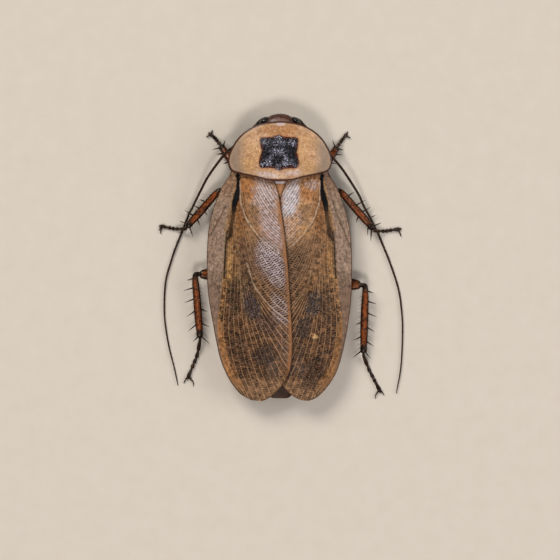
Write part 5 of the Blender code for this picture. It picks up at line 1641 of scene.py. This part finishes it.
def make_foot(name, leg, shin, ankle, look):
    points = [Vector((x, y, FOOT_HEIGHT)) for x, y in leg["foot"]]
    ahead = (points[1] - points[0]).normalized()
    points[0] = past(ankle, shin, ahead, 0.24)
    path = curve([ankle - shin * 0.3, ankle.lerp(points[0], 0.6)] + points, 120)
    skin = Skin()
    sole = lambda t, x, y: 1.0 - abs(math.sin(math.pi * t * 2)) * 0.3
    skin.tube(path, foot_size, 18, sole)
    reach = 0.0
    for part in FOOT_JOINTS[:4]:
        reach += part
        spot = Vector(path[int(reach * 115)])
        if spot.z < 0.6:
            skin.ball((spot.x, spot.y, 0.16), (0.26, 0.26, 0.15), 0.0, 12)
    last = Vector(path[-1])
    heading = (last - Vector(path[-6])).normalized()
    skin.ball(last + heading * 0.1 - UP * 0.08, (0.24, 0.24, 0.2), 0.3, 12)
    for x, y in leg["claws"]:
        tip = Vector((x, y, 0.09))
        ahead = heading * (tip - last).dot(heading)
        knuckle = last + (tip - last - ahead) * 0.8 + ahead * 0.35 + UP * 0.22
        hook = curve([last - heading * 0.25, knuckle, tip], 22)
        skin.tube(hook, taper(0.15, 0.6, 0.02), 10, even(1.0))
    for vert in skin.bm.verts:
        vert.co.z = max(vert.co.z, 0.0)
    place(skin.bm, f"{name}_toes", "foot", [f"{name}_foot"], look)


print("foot joints:", len(FOOT_JOINTS))

# %% [markdown]
# ## Leg finish
# The amber is streaked along the leg and turns nearly black on joints and spines, and on the edges,
# where the dark is painted shade. A clear coat gives the hard gloss of insect skin. The feet use the
# same sums with darker colours and pale soles.


# %% Leg finish
def leg_finish(name, light, middle, dark):
    warm = shade(255, 214, 176)
    look = Finish(name, {"Coat Roughness": 0.12, "Specular IOR Level": 0.16, "Specular Tint": warm})
    tone = look.reading("tone") + look.sway(0.5, 0.35)
    flesh = look.mix(look.noise(1.4), light, middle)
    stains = look.noise(0.6, 4.0, 0.7).step(0.44, 0.58) * 0.85
    # The tone darkens joints and spines, and paints shade along the sides of hips, thighs and shins
    colour = look.mix(stains, look.mix(tone.step(0.2, 0.85), flesh, dark), dark)
    dust = look.noise(0.2, 2.0).step(0.6, 0.68) * look.noise(1.1).step(0.45, 0.6) * 0.5
    colour = look.mix(dust, colour, (196, 158, 122))
    grain = look.noise(0.18) * 0.6 + look.cells(0.25) * 0.4
    wet = look.noise(0.35).step(0.45, 0.65) * 0.5 + 0.08
    return look.cover(colour, (0.5, 0.16, 0.22), grain, 0.05, Coat_Weight=wet)


amber_look = leg_finish("amber_cuticle", (160, 80, 30), (96, 44, 18), (18, 8, 6))
foot_look = leg_finish("foot_cuticle", (120, 62, 32), (70, 36, 22), (24, 13, 10))
noise.seed_set(7)
for name, leg in LEGS.items():
    make_leg(name, leg, amber_look, foot_look)

# %% [markdown]
# ## Tail feelers
# Two short flattened feelers with beaded joints and fine hairs stick out under the wing tips.

# %% Tail feelers
TAIL_FEELER = [(3.3, -20.1, 1.9), (3.6, -20.6, 1.85), (4.9, -22.3, 2.15), (5.9, -23.8, 2.6)]
TAIL_JOINTS = 9


def tail_size(t):
    swell = 0.65 + 0.35 * joints(t, TAIL_JOINTS)
    return 0.1 + (0.4 - 0.26 * t) * swell, 0.08 + (0.34 - 0.22 * t) * swell


def make_tail_feeler(side, sign, look):
    skin = Skin()
    route = curve([(sign * x, y, z) for x, y, z in TAIL_FEELER], 90)
    skin.tube(route, tail_size, 16, lambda t, x, y: 1 - joints(t, TAIL_JOINTS))
    for edge in (-1, 1):
        add_bristles(skin, route, tail_size, (0.05, 0.95), 14, 0.3, edge)
    return place(skin.bm, f"tail_feeler_{side}", "cercus", [f"cercus_{side}"], look)


tail_look = leg_finish("tail_cuticle", (110, 64, 38), (78, 44, 28), (40, 22, 16))
for side, sign in SIDES:
    make_tail_feeler(side, sign, tail_look)
